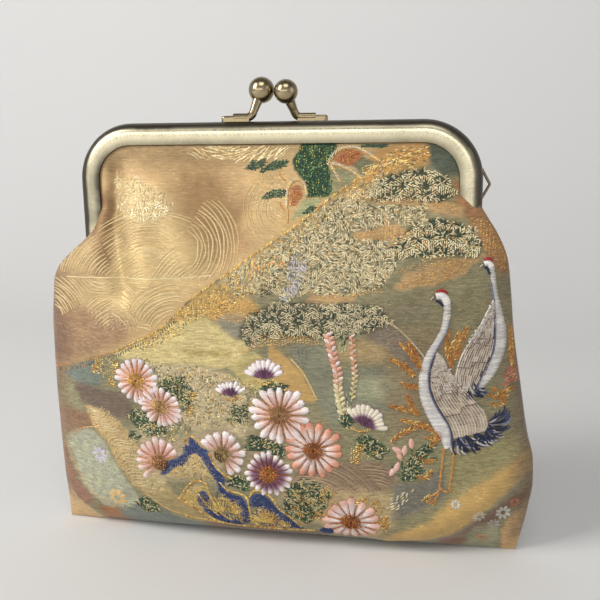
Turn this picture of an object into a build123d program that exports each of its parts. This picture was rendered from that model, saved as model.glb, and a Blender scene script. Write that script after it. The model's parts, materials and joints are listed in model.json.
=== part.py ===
"""Coin purse with a kiss-lock frame.

The purse stands on its bottom seam. X runs across its width, -Y is the front and Z is up. The
origin is the centre of the base. The mouth is held by two channel frames hinged at both sides.
"""

import os
from math import atan, cos, radians, sin, tan

from build123d import *

# ---------------------------------------------------------------- driving dimensions, mm
FRAME_WIDTH = 100.0  # over the outside of the arms
FRAME_TOP = 108.6  # height of the frame's crown
CORNER_RADIUS = 14.0  # outside of the frame's upper corners
HINGE_HEIGHT = 74.0  # rivet axis above the base
OPEN_ANGLE = 40.0  # travel of each frame half

SHEET = 0.6  # thickness of the frame's sheet brass
BAR_WIDTH = 5.4  # face of the channel, seen from the front
HALF_DEPTH = 4.3  # one channel from front to back
PARTING = 0.15  # half the slit between the closed frames
FACE_ROUND = 2.2  # rolled outer edge on the show face
LIP_ROUND = 0.2  # the show face's edge against the cloth
BACK_ROUND = 0.8  # outer edge at the parting plane

EAR_RADIUS = 3.1
EAR_SLACK = 0.1  # side play between the lapped ears
RIVET_RADIUS = 1.1
RIVET_PLAY = 0.05  # radial running clearance in the front ear
RIVET_HEAD_RADIUS = 2.1
RIVET_DOME = 0.75
RIVET_TAIL = 0.5

FRONT_BALL = (3.15, 3.3, 7.5)  # radius, centre from the frame's middle, centre above its crown
BACK_BALL = (2.9, 2.95, 7.0)  # the back half's ball is smaller and lower
BALL_CROSSING = 0.6  # how far each ball leans over the parting plane
NECK_RADIUS = 1.3  # the stalk where it enters the ball
STALK_RADIUS = 1.0  # the stalk along its foot
FOOT_END = 12.8  # outer end of the clasp's foot from the middle
FOOT_HEIGHT = 1.45
FOOT_WIDTH = 1.9

LOOP_HEIGHT = 93.2
LOOP_SPAN = 7.8
LOOP_REACH = 1.8
LOOP_WIRE_RADIUS = 0.34

CLOTH = 0.7  # brocade
WADDING = 0.5  # interfacing behind the brocade
LINING = 0.3
LAYER_GAP = 0.05
CLOTH_IN_GROOVE = 3.7  # outer face of the cloth inside the channel, from the middle plane
CLOTH_INSET = 2.4  # raw edge of the cloth from the frame's outside
FLAP_EDGE = 71.7  # lower edge of the cloth that rides on the frames
FLAP_BOW = 6.2  # how far its lower edge bows out between the arms
FLAP_STEPS = 6

CORD_RADIUS = 0.58
CORD_INSET = 3.0
CORD_END = 79.0

# The pouch below the hinge: height, half width, half gap at the sides and half depth.
POUCH_SECTIONS = [
    (0.0, 60.3, 0.0, 8.2),
    (6.0, 61.2, 0.0, 9.8),
    (14.0, 61.9, 0.0, 11.5),
    (27.0, 62.0, 0.0, 12.8),
    (40.0, 60.9, 0.0, 13.3),
    (50.0, 59.2, 0.0, 13.4),
    (56.0, 57.4, 0.0, 13.3),
    (60.5, 54.6, 0.0, 13.1),
    (64.0, 50.2, 0.0, 12.9),
    (66.7, 44.0, 0.0, 12.7),
]
COLLAR_SECTIONS = [
    (66.7, 44.0, 0.0, 12.7),
    (69.0, 44.0, 3.0, 12.65),
    (71.3, 44.0, 5.8, 12.6),
]

# ---------------------------------------------------------------- derived sizes
HALF_WIDTH = FRAME_WIDTH / 2
FRONT_FACE = PARTING + HALF_DEPTH  # distance of the show face from the middle plane
LEG_LENGTH = (FRONT_FACE - 0.05) / tan(radians(OPEN_ANGLE))
LEG_END = HINGE_HEIGHT - LEG_LENGTH
OUTER_EAR = HALF_WIDTH - SHEET  # inner face of the front half's ear
INNER_EAR = OUTER_EAR - EAR_SLACK - SHEET  # inner face of the back half's ear
POCKET_RADIUS = EAR_RADIUS + 0.4
GROOVE_MOUTH = HALF_WIDTH - BAR_WIDTH
GROOVE_TOP = FRAME_TOP - BAR_WIDTH + 0.1  # the cloth lies flat above this height
LAYERS = {
    "panel": (0.0, CLOTH),
    "interfacing": (CLOTH + LAYER_GAP, WADDING),
    "lining": (CLOTH + WADDING + 2 * LAYER_GAP, LINING),
}
SIDES = {"left": -1, "right": 1}


# ---------------------------------------------------------------- helpers
def x_disc(side, x_from, x_to, radius, y=0.0, z=HINGE_HEIGHT):
    """A disc about an axis along X, between two distances from the middle, on one side."""
    thickness = x_to - x_from
    centre = side * (x_from + thickness / 2)
    return Pos(centre, y, z) * Rot(0, 90, 0) * Cylinder(radius, thickness)


def x_block(side, x_from, x_to, y_from, y_to, z_from, z_to):
    """A block between two distances from the middle, on one side."""
    size = (x_to - x_from, y_to - y_from, z_to - z_from)
    centre = (side * (x_from + x_to) / 2, (y_from + y_to) / 2, (z_from + z_to) / 2)
    return Pos(*centre) * Box(*size)


def arch_path(inset, y, z_low):
    """The frame's arch as a wire, moved in from the outside of the frame by inset."""
    half = HALF_WIDTH - inset
    top = FRAME_TOP - inset
    radius = CORNER_RADIUS - inset
    spread = radius * sin(radians(45))
    left_mid = (-half + radius - spread, y, top - radius + spread)
    right_mid = (half - radius + spread, y, top - radius + spread)
    return Wire(
        [
            Line((-half, y, z_low), (-half, y, top - radius)),
            ThreePointArc((-half, y, top - radius), left_mid, (-half + radius, y, top)),
            Line((-half + radius, y, top), (half - radius, y, top)),
            ThreePointArc((half - radius, y, top), right_mid, (half, y, top - radius)),
            Line((half, y, top - radius), (half, y, z_low)),
        ]
    )


def arch_slab(inset, y_from, y_to, z_low):
    """Everything inside the arch, as a slab between two depths."""
    arch = arch_path(inset, y_from, z_low)
    half = HALF_WIDTH - inset
    closed = Wire(arch.edges() + [Edge.make_line((half, y_from, z_low), (-half, y_from, z_low))])
    return extrude(Face(closed), amount=y_to - y_from, dir=(0, 1, 0))


def mirrored(shape):
    """The back half's twin of a piece of the front half."""
    return mirror(shape, about=Plane.XZ)


# ---------------------------------------------------------------- frame
def channel_profile():
    """The U section of the front half, open towards the middle of the purse."""
    mid_y = -(PARTING + HALF_DEPTH / 2)
    outer = Pos(-HALF_WIDTH + BAR_WIDTH / 2, mid_y) * Rectangle(BAR_WIDTH, HALF_DEPTH)
    on_outside = outer.vertices().group_by(Axis.X)[0].sort_by(Axis.Y)
    outer = fillet(on_outside[0], FACE_ROUND)
    outer = fillet(outer.vertices().group_by(Axis.X)[0].sort_by(Axis.Y)[-1], BACK_ROUND)
    outer = fillet(outer.vertices().group_by(Axis.X)[-1].sort_by(Axis.Y)[0], LIP_ROUND)
    groove_depth = BAR_WIDTH - SHEET
    groove = Rectangle(groove_depth, HALF_DEPTH - 2 * SHEET)
    deep = groove.vertices().group_by(Axis.X)[0].sort_by(Axis.Y)
    groove = fillet(deep[0], FACE_ROUND - SHEET)
    groove = fillet(groove.vertices().group_by(Axis.X)[0].sort_by(Axis.Y)[-1], BACK_ROUND / 2)
    return outer - Pos(-HALF_WIDTH + SHEET + groove_depth / 2, mid_y) * groove


def front_channel():
    """The front half without its hinge: an arched channel with its ends cut on the slant."""
    profile = Pos(0, 0, LEG_END - 1) * channel_profile()
    channel = sweep(profile, path=arch_path(0, -PARTING - HALF_DEPTH / 2, LEG_END - 1))
    slope = tan(radians(OPEN_ANGLE))
    low = LEG_END - 4
    reach = -PARTING - (HINGE_HEIGHT - low) * slope
    wedge = Polyline(
        (0, -PARTING, HINGE_HEIGHT),
        (0, FRONT_FACE, HINGE_HEIGHT),
        (0, FRONT_FACE, low),
        (0, reach, low),
        (0, -PARTING, HINGE_HEIGHT),
    )
    cutter = extrude(Face(Wire(wedge.edges())), amount=HALF_WIDTH + 5, dir=(1, 0, 0), both=True)
    return channel - cutter


def front_frame():
    """The front half: its ears lap over the outside of the back half's."""
    frame = front_channel()
    for side in SIDES.values():
        frame -= x_disc(side, INNER_EAR - 0.6, OUTER_EAR, POCKET_RADIUS)
        ear = x_disc(side, OUTER_EAR, HALF_WIDTH, EAR_RADIUS)
        ear += x_block(
            side, OUTER_EAR, HALF_WIDTH, -PARTING - BACK_ROUND, 0,
            HINGE_HEIGHT, HINGE_HEIGHT + EAR_RADIUS,
        )
        frame += ear
        frame -= x_disc(side, INNER_EAR - 1, HALF_WIDTH + 1, RIVET_RADIUS + RIVET_PLAY)
    return frame


def back_frame():
    """The back half: joggled in at the hinge, so that its ears lie inside the front half's."""
    frame = mirrored(front_channel())
    for side in SIDES.values():
        frame -= x_disc(side, INNER_EAR - 0.6, HALF_WIDTH + 1, POCKET_RADIUS)
        ear = x_disc(side, INNER_EAR, INNER_EAR + SHEET, EAR_RADIUS)
        joggle = x_block(
            side, INNER_EAR, OUTER_EAR + 0.02, PARTING + BACK_ROUND, FRONT_FACE - FACE_ROUND,
            HINGE_HEIGHT, HINGE_HEIGHT + POCKET_RADIUS + 0.8,
        )
        joggle -= x_disc(side, INNER_EAR + SHEET, HALF_WIDTH + 1, POCKET_RADIUS)
        frame += ear + joggle
        frame -= x_disc(side, INNER_EAR - 1, HALF_WIDTH + 1, RIVET_RADIUS)
    return frame


def hinge_rivet(side):
    """A domed rivet through both ears, headed over inside the back half's ear."""
    seat = HALF_WIDTH + RIVET_PLAY
    tail = RIVET_RADIUS * 1.6
    ball_radius = (RIVET_HEAD_RADIUS**2 + RIVET_DOME**2) / (2 * RIVET_DOME)
    lean = atan(RIVET_HEAD_RADIUS / (ball_radius - RIVET_DOME)) / 2
    middle = (seat + RIVET_DOME - ball_radius * (1 - cos(lean)), ball_radius * sin(lean))
    outline = [
        Polyline(
            (seat + RIVET_DOME, 0),
            (INNER_EAR - RIVET_TAIL, 0),
            (INNER_EAR - RIVET_TAIL, tail),
            (INNER_EAR, tail),
            (INNER_EAR, RIVET_RADIUS),
            (seat, RIVET_RADIUS),
            (seat, RIVET_HEAD_RADIUS),
        ),
        ThreePointArc((seat, RIVET_HEAD_RADIUS), middle, (seat + RIVET_DOME, 0)),
    ]
    edges = outline[0].edges() + [outline[1].edge()]
    rivet = Pos(0, 0, HINGE_HEIGHT) * revolve(Face(Wire(edges)), axis=Axis.X)
    return rivet if side > 0 else mirror(rivet, about=Plane.YZ)


def strap_loop(side):
    """A three-cornered wire loop soldered to the side of the back half."""
    y = PARTING + HALF_DEPTH / 2
    root = side * (HALF_WIDTH - LOOP_WIRE_RADIUS)
    tip = side * (HALF_WIDTH + LOOP_REACH)
    half = LOOP_SPAN / 2
    path = FilletPolyline(
        (root, y, LOOP_HEIGHT - half),
        (tip, y, LOOP_HEIGHT),
        (root, y, LOOP_HEIGHT + half),
        radius=LOOP_WIRE_RADIUS * 1.5,
    )
    start = Plane(path @ 0, z_dir=path % 0)
    wire = sweep(start * Circle(LOOP_WIRE_RADIUS), path=path)
    return wire & x_block(side, HALF_WIDTH, HALF_WIDTH + 5, 0, 6, LOOP_HEIGHT - 9, LOOP_HEIGHT + 9)


# ---------------------------------------------------------------- kiss lock
def clasp_foot_y():
    """The foot sits on the flat of the crown, between the two rolled edges."""
    return -(PARTING + BACK_ROUND + FOOT_WIDTH / 2)


def clasp_stalk(ball):
    """A stalk of the front half: a foot soldered along the crown, bent up and thicker to its ball."""
    radius, offset, rise = ball
    foot_y = clasp_foot_y()
    foot_in = offset + 2.5
    foot_length = FOOT_END - foot_in
    foot = Pos(-(foot_in + foot_length / 2), foot_y, FRAME_TOP + FOOT_HEIGHT / 2) * Box(
        foot_length, FOOT_WIDTH, FOOT_HEIGHT
    )
    foot = fillet(foot.edges().filter_by(Axis.Z).group_by(Axis.X)[0], FOOT_WIDTH * 0.42)
    foot = fillet(foot.edges().group_by(Axis.Z)[-1], FOOT_HEIGHT * 0.35)
    knee = Vector(-offset - 2.1, foot_y, FRAME_TOP + STALK_RADIUS)
    centre = Vector(-offset, BALL_CROSSING, FRAME_TOP + rise)
    path = FilletPolyline((-FOOT_END + 3, knee.Y, knee.Z), knee, centre, radius=1.6)
    rod = sweep(Plane(path @ 0, z_dir=path % 0) * Circle(STALK_RADIUS), path=path)
    rise_line = centre - knee
    start = knee + rise_line * (2.0 / rise_line.length)
    neck = Plane(start, z_dir=rise_line) * Cone(
        STALK_RADIUS, NECK_RADIUS, rise_line.length - 2.0 - radius * 0.7,
        align=(Align.CENTER, Align.CENTER, Align.MIN),
    )
    return foot + rod + neck - clasp_ball(ball)


def clasp_ball(ball):
    """A ball of the front half, which leans over the parting plane to hook behind the other."""
    radius, offset, rise = ball
    return Pos(-offset, BALL_CROSSING, FRAME_TOP + rise) * Sphere(radius)


def turned(shape):
    """The back half's clasp is made as the front half's, then turned half round the upright axis."""
    return Rot(0, 0, 180) * shape


# ---------------------------------------------------------------- cloth
def paper_cord():
    """The twisted paper cord that wedges the cloth into the front half's groove."""
    y = -(PARTING + SHEET + CORD_RADIUS + LAYER_GAP)
    path = arch_path(CORD_INSET, y, CORD_END)
    start = Plane(path @ 0, z_dir=path % 0)
    return sweep(start * Circle(CORD_RADIUS), path=path)


def crescent(z, outer, inner):
    """A thin crescent of cloth at one height. Each side is (half width, gap, half depth)."""
    (a, gap, depth), (a_in, gap_in, depth_in) = outer, inner
    return Face(
        Wire(
            [
                ThreePointArc((-a, -gap, z), (0, -depth, z), (a, -gap, z)),
                Line((a, -gap, z), (a_in, -gap_in, z)),
                ThreePointArc((a_in, -gap_in, z), (0, -depth_in, z), (-a_in, -gap_in, z)),
                Line((-a_in, -gap_in, z), (-a, -gap, z)),
            ]
        )
    )


def inward(section, depth):
    """A pouch section moved in by a depth of cloth. Its tips close in faster than its middle."""
    _, half_width, gap, half_depth = section
    tip_angle = 2 * atan((half_depth - gap) / half_width)
    return half_width - depth / sin(tip_angle), gap, half_depth - depth


def pouch_wall(sections, depth, thickness):
    return loft(
        [
            crescent(s[0], inward(s, depth), inward(s, depth + thickness))
            for s in sections
        ]
    )


def pouch_layer(layer):
    """The front half of one layer of the pouch, with its half of the bottom."""
    depth, thickness = LAYERS[layer]
    a, _, half_depth = inward(POUCH_SECTIONS[0], depth)
    rim = Wire(
        [
            ThreePointArc((-a, 0, depth), (0, -half_depth, depth), (a, 0, depth)),
            Line((a, 0, depth), (-a, 0, depth)),
        ]
    )
    floor = extrude(Face(rim), amount=thickness, dir=(0, 0, 1))
    walls = pouch_wall(POUCH_SECTIONS, depth, thickness)
    walls += pouch_wall(COLLAR_SECTIONS, depth, thickness)
    if depth:
        walls -= Pos(0, 0, depth / 2) * Box(3 * HALF_WIDTH, 40, depth)
    return walls + floor


def flap_section(z, bow, depth, thickness):
    """Cloth across the frame at one height: flat in both grooves and bowed between them."""
    near = CLOTH_IN_GROOVE - depth
    side = GROOVE_MOUTH - 0.3
    edge = HALF_WIDTH - 1

    def face_line(y):
        left = Line((-edge, -y, z), (-side, -y, z))
        arc = ThreePointArc((-side, -y, z), (0, -y - bow, z), (side, -y, z))
        return [left, arc, Line((side, -y, z), (edge, -y, z))]

    ends = [Line((x, -near, z), (x, thickness - near, z)) for x in (-edge, edge)]
    return Face(Wire(face_line(near) + face_line(near - thickness) + ends))


def flap_layer(layer):
    """The front half's cloth inside the frame, trimmed to reach into the groove all round."""
    depth, thickness = LAYERS[layer]
    sections = []
    for step in range(FLAP_STEPS + 1):
        rise = step / FLAP_STEPS
        bow = max(FLAP_BOW * (1 - rise**2), 0.02)
        z = FLAP_EDGE + rise * (GROOVE_TOP - FLAP_EDGE)
        sections.append(flap_section(z, bow, depth, thickness))
    in_groove = extrude(sections[-1], amount=FRAME_TOP - GROOVE_TOP, dir=(0, 0, 1))
    sheet = loft(sections) + in_groove
    return sheet & arch_slab(CLOTH_INSET, -30, 0, FLAP_EDGE - 1)


# ---------------------------------------------------------------- build
def build():
    parts = {
        "front_frame": front_frame(),
        "back_frame": back_frame(),
        "front_clasp_stalk": clasp_stalk(FRONT_BALL),
        "front_clasp_ball": clasp_ball(FRONT_BALL),
        "back_clasp_stalk": turned(clasp_stalk(BACK_BALL)),
        "back_clasp_ball": turned(clasp_ball(BACK_BALL)),
        "front_paper_cord": paper_cord(),
    }
    parts["back_paper_cord"] = mirrored(parts["front_paper_cord"])
    for name, side in SIDES.items():
        parts[f"{name}_hinge_rivet"] = hinge_rivet(side)
        parts[f"{name}_strap_loop"] = strap_loop(side)
    for layer in LAYERS:
        parts[f"front_{layer}_lower"] = pouch_layer(layer)
        parts[f"front_{layer}_upper"] = flap_layer(layer)
        for level in ("lower", "upper"):
            parts[f"back_{layer}_{level}"] = mirrored(parts[f"front_{layer}_{level}"])
    return parts


os.makedirs("parts", exist_ok=True)
for node, shape in build().items():
    export_step(shape, f"parts/{node}.step")
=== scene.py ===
"""The looks of a brocade coin purse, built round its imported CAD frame.

Lengths are in millimetres until a mesh is made. X runs across the purse, -Y is its front and Z is up.
The brocade is drawn in its own flat coordinates: across is the X of the closed purse, and up is
its height, carried on under the base as negative heights.
"""

import json
import math

import bpy
import numpy as np
from mathutils import Matrix, Vector


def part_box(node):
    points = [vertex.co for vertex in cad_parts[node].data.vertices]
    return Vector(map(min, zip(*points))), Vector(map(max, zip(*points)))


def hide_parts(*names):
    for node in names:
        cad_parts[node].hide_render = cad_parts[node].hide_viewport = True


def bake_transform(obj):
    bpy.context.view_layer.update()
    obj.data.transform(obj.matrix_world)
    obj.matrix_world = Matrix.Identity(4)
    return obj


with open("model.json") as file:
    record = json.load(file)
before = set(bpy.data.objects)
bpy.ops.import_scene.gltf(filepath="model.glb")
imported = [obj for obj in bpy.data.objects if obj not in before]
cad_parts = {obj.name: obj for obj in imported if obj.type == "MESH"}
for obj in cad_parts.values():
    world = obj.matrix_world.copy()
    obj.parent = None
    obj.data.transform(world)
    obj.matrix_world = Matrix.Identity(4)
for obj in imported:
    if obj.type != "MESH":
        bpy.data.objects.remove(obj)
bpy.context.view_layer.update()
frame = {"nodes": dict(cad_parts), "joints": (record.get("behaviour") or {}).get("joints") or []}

MM = 0.001
FRONT, BACK = -1, 1  # the sign of Y on each face of the purse


# ---------------------------------------------------------------- sizes read from the frame
def box_mm(node):
    low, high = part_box(node)
    return np.array(low) / MM, np.array(high) / MM


frame_low, frame_high = box_mm("front_frame")
pouch_low, pouch_high = box_mm("front_panel_lower")
HINGE = next(j for j in frame["joints"] if j["name"] == "front_frame_hinge")["pos_m"][2] / MM
FRAME_HALF = frame_high[0]  # outside of the arms
FRAME_TOP = frame_high[2]
FACE = -frame_low[1]  # show face of the front half, in front of the middle plane
POUCH_HALF = pouch_high[0]
POUCH_DEPTH = -pouch_low[1]
GROOVE_CLOTH = FACE - 0.72  # face of the cloth where it enters the groove
GROOVE_EDGE = FRAME_HALF - 5.1  # cloth's edge, just behind the lip of the arms
TUCK_TOP = FRAME_TOP - 4.6  # cloth's top edge, just behind the lip of the crown
CORNER = 14.0  # outside radius of the frame's corners


# ---------------------------------------------------------------- small helpers
def smooth(value, start, end):
    """0 before start, 1 after end, and smooth between."""
    t = np.clip((np.asarray(value, float) - start) / (end - start), 0, 1)
    return t * t * (3 - 2 * t)


def mix(a, b, share):
    return a + (b - a) * share


def curve_through(knots):
    """A smooth function through (place, value) knots that doesn't overshoot them."""
    x, y = np.array(knots, float).T
    slope = np.diff(y) / np.diff(x)
    bend = np.zeros_like(y)
    same = slope[:-1] * slope[1:] > 0
    before, after = slope[:-1][same], slope[1:][same]
    bend[1:-1][same] = 2 * before * after / (before + after)
    bend[0], bend[-1] = slope[0], slope[-1]

    def at(place):
        place = np.clip(place, x[0], x[-1])
        i = np.clip(np.searchsorted(x, place) - 1, 0, len(x) - 2)
        h = x[i + 1] - x[i]
        u = (place - x[i]) / h
        start = (1 + 2 * u) * (1 - u) ** 2 * y[i] + u * (1 - u) ** 2 * h * bend[i]
        end = u * u * (3 - 2 * u) * y[i + 1] + u * u * (u - 1) * h * bend[i + 1]
        return start + end

    return at


def srgb(red, green, blue):
    """A colour as it is seen, from 0 to 255."""
    return np.array((red, green, blue)) / 255


def linear(colour):
    """The linear light of a colour as it is seen."""
    colour = np.clip(colour, 0, 1)
    return np.where(colour <= 0.04045, colour / 12.92, ((colour + 0.055) / 1.055) ** 2.4)


def noise(x, y, size, seed):
    """Smooth random ups and downs between -1 and 1, about this many millimetres across."""
    table = np.random.default_rng(seed).uniform(-1, 1, (64, 64))
    x, y = np.asarray(x, float) / size, np.asarray(y, float) / size
    i, j = np.floor(x).astype(int), np.floor(y).astype(int)
    u, w = x - i, y - j
    u, w = u * u * (3 - 2 * u), w * w * (3 - 2 * w)
    low = mix(table[i % 64, j % 64], table[(i + 1) % 64, j % 64], u)
    high = mix(table[i % 64, (j + 1) % 64], table[(i + 1) % 64, (j + 1) % 64], u)
    return mix(low, high, w)


def distance_to_line(line, x, y):
    """How far each place is from a line through these points."""
    line = np.asarray(line, float)
    best = np.full(np.shape(x), np.inf)
    for (ax, ay), (bx, by) in zip(line[:-1], line[1:]):
        dx, dy = bx - ax, by - ay
        share = np.clip(((x - ax) * dx + (y - ay) * dy) / (dx * dx + dy * dy), 0, 1)
        best = np.minimum(best, np.hypot(x - ax - share * dx, y - ay - share * dy))
    return best


def depth_inside(outline, x, y):
    """How far each place is inside a closed outline, or less than 0 outside it."""
    outline = np.asarray(outline, float)
    inside = np.zeros(np.shape(x), bool)
    for (ax, ay), (bx, by) in zip(outline, np.roll(outline, -1, axis=0)):
        if ay == by:
            continue
        crosses = (ay > y) != (by > y)
        inside ^= crosses & (x < ax + (y - ay) * (bx - ax) / (by - ay))
    away = distance_to_line(np.vstack([outline, outline[:1]]), x, y)
    return np.where(inside, away, -away)


def rounded(points, step=0.5, closed=False):
    """A smooth line through these points, with a point about every step."""
    points = np.asarray(points, float)
    if closed:
        ends = points[-1:], points[:2]
    else:
        ends = 2 * points[:1] - points[1:2], 2 * points[-1:] - points[-2:-1]
    knots = np.vstack([ends[0], points, ends[1]])
    line = []
    for a, b, c, d in zip(knots[:-3], knots[1:-2], knots[2:-1], knots[3:]):
        count = max(int(np.hypot(*(c - b)) / step), 1)
        t = np.linspace(0, 1, count, endpoint=False)[:, None]
        line.append(0.5 * (2 * b + (c - a) * t + (2 * a - 5 * b + 4 * c - d) * t**2
                           + (3 * b - a - 3 * c + d) * t**3))
    if not closed:
        line.append(points[-1:])
    return np.vstack(line)


def grid_faces(rows, columns, flip=False):
    """Quads of a grid whose vertices run along each row in turn."""
    i = np.arange(rows * columns).reshape(rows, columns)
    quads = np.stack([i[:-1, :-1], i[:-1, 1:], i[1:, 1:], i[1:, :-1]], -1).reshape(-1, 4)
    return quads[:, ::-1] if flip else quads


def make_mesh(name, points, faces, material):
    """A smooth-shaded object from points in millimetres."""
    mesh = bpy.data.meshes.new(name)
    points = np.asarray(points, float)
    faces = np.asarray(faces)
    mesh.vertices.add(len(points))
    mesh.vertices.foreach_set("co", (points * MM).ravel())
    size = faces.shape[1]
    mesh.loops.add(faces.size)
    mesh.loops.foreach_set("vertex_index", faces.astype(np.int32).ravel())
    mesh.polygons.add(len(faces))
    mesh.polygons.foreach_set("loop_start", np.arange(0, faces.size, size, dtype=np.int32))
    mesh.update(calc_edges=True)
    mesh.validate()
    mesh.polygons.foreach_set("use_smooth", np.ones(len(mesh.polygons), bool))
    mesh.materials.append(material)
    piece = bpy.data.objects.new(name, mesh)
    bpy.context.scene.collection.objects.link(piece)
    return piece


def set_bake_map(piece, chart):
    """The bake's UV map, with a place from 0 to 1 for each vertex."""
    mesh = piece.data
    corner = np.empty(len(mesh.loops), np.int32)
    mesh.loops.foreach_get("vertex_index", corner)
    layer = mesh.uv_layers.new(name="OFBake")
    layer.uv.foreach_set("vector", chart[corner].astype(np.float32).ravel())


def paint(piece, name, colours):
    """A linear colour at each vertex."""
    layer = piece.data.attributes.new(name, "FLOAT_COLOR", "POINT")
    rgba = np.column_stack([colours, np.ones(len(colours))])
    layer.data.foreach_set("color", rgba.astype(np.float32).ravel())


def mark(piece, name, vectors):
    """A vector at each vertex."""
    layer = piece.data.attributes.new(name, "FLOAT_VECTOR", "POINT")
    layer.data.foreach_set("vector", np.asarray(vectors, np.float32).ravel())


# ---------------------------------------------------------------- shape of the cloth
# Half widths of the closed purse at each height. The right side is the fuller one.
LEFT_EDGE = curve_through([
    (0, 61.0), (6, 61.3), (14, 61.8), (26, 62.1), (40, 62.3), (57, 62.0), (64, 61.3), (68.6, 60.4),
    (71.4, 59.0), (74.1, 56.5), (77, 52.9), (79.6, 49.6), (82, 47.2), (84.6, 45.7), (88, GROOVE_EDGE),
])
RIGHT_EDGE = curve_through([
    (0, 61.2), (5.5, 62.5), (12.5, 63.9), (19.4, 64.8), (24.8, 64.6), (32.6, 62.8), (45.5, 60.6),
    (58, 58.6), (68, 57.5), (75.8, 56.3), (81, 54.3), (84.7, 52.0), (88.8, 49.3), (92, 46.7),
    (95, GROOVE_EDGE),
])
DEPTH = curve_through([
    (10, 10.3), (14, 11.35), (20, 12.25), (27, 12.8), (45, POUCH_DEPTH), (60, 0.985 * POUCH_DEPTH),
    (68, 12.6), (75, 11.3), (82, 9.6), (90, 7.6), (97, 5.7), (102, 4.4), (TUCK_TOP, GROOVE_CLOTH),
])
# The cloth's edge is on the middle plane at the seam, then over the arm, then in the groove.
EDGE_DEPTH = curve_through([
    (0, 0.35), (63, 0.35), (70, 1.6), (75, 3.5), (79, FACE + 0.1), (84, FACE + 0.1), (89, GROOVE_CLOTH),
    (FRAME_TOP, GROOVE_CLOTH),
])
FULLNESS = curve_through([(0, 0.74), (12, 0.66), (30, 0.62), (75, 0.62), (95, 0.8), (110, 0.8)])
# Below BASE_START the cloth turns in to the bottom seam. Its length there is more than its height.
BASE_START = 10.0
BASE_END = -4.5
BASE_HEIGHT = curve_through([
    (BASE_END, 0.12), (-2, 1.25), (0, 2.3), (2, 3.5), (5, 5.6), (8, 8.1), (BASE_START, 10.0),
])
BASE_DEPTH = curve_through([
    (BASE_END, 0.35), (-2, 2.55), (0, 4.25), (2, 5.85), (5, 8.0), (8, 9.6), (BASE_START, 10.3),
])
ARM_START = (64, 70)  # heights between which the layers draw in beside the arms
WRAP_START = (67, 74)  # heights between which the seam opens round the arms
RETURN_COLUMNS = 6  # columns of the grid in the turned-back edge
RETURN_REACH = 0.35  # how far the cloth turns back at a seam
LEAST_LIP = 0.3  # least depth of a layer at its edge
ROW_SQUARENESS = 2.6  # how flat a row stays before it falls away to its edge
ARC_TO_CHORD = 1.15  # length of the turned-back edge, over its chord
# Soft folds of the front, as a line across the cloth, how far it stands out and how wide it is.
FOLDS = [
    ([(-41.5, 97), (-41.6, 90), (-41, 84), (-39.5, 76), (-37.5, 68)], -1.8, 2.8),
    ([(-34, 94), (-32.5, 86), (-32, 76), (-30, 66)], 0.8, 5.0),
    ([(-20, 101), (-15, 94), (-11, 86), (-11, 77)], -1.5, 7.0),
    ([(-27, 92), (-24, 84), (-21, 76)], 0.7, 4.0),
    ([(-50, 76), (-55, 68), (-56, 60)], 0.4, 4.0),
    ([(-58, 21), (-55, 14), (-50, 9), (-44, 6)], -0.8, 2.4),
    ([(-60, 12), (-57, 6), (-52, 2)], 0.5, 3.0),
    ([(-58, 44), (-50, 40), (-42, 37), (-36, 35)], -0.75, 4.2),
    ([(-60, 33), (-53, 31), (-46, 27), (-41, 20)], 0.5, 4.0),
    ([(64, 28), (57, 20), (47, 12), (37, 5), (28, 1)], 1.4, 4.2),
    ([(64, 19), (58, 12.5), (52, 6), (46, 1)], -1.3, 3.4),
    ([(62, 9), (60, 2)], 0.45, 3.0),
    ([(-29, 19.2), (-21, 18.6), (-12, 18.9), (-4, 19.6)], -0.3, 0.9),
    ([(50, 92), (47, 84), (49, 74)], -0.5, 3.5),
    ([(44, 96), (40, 88), (38, 78)], 0.35, 5.0),
]


def cloth_rows(step):
    """Places up the flat cloth, from the bottom seam to the groove."""
    return np.concatenate([np.arange(BASE_END, TUCK_TOP, step), [TUCK_TOP]])


def row_height(v):
    """Height above the floor of each place up the flat cloth."""
    return np.where(v >= BASE_START, v, BASE_HEIGHT(v))


def edge_at(x, z):
    """Half width of the closed purse on the side of each place."""
    return np.where(x < 0, LEFT_EDGE(z), RIGHT_EDGE(z))


def row_depth(v):
    """Depth of the middle of each row, in front of the middle plane."""
    return np.where(v >= BASE_START, DEPTH(v), BASE_DEPTH(v))


def across_share(u):
    """Where the columns of a grid lie, from the middle at 0 to the edge at 1. They crowd at the edge."""
    return 0.6 * u + 0.4 * np.sin(u * math.pi / 2)


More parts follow.
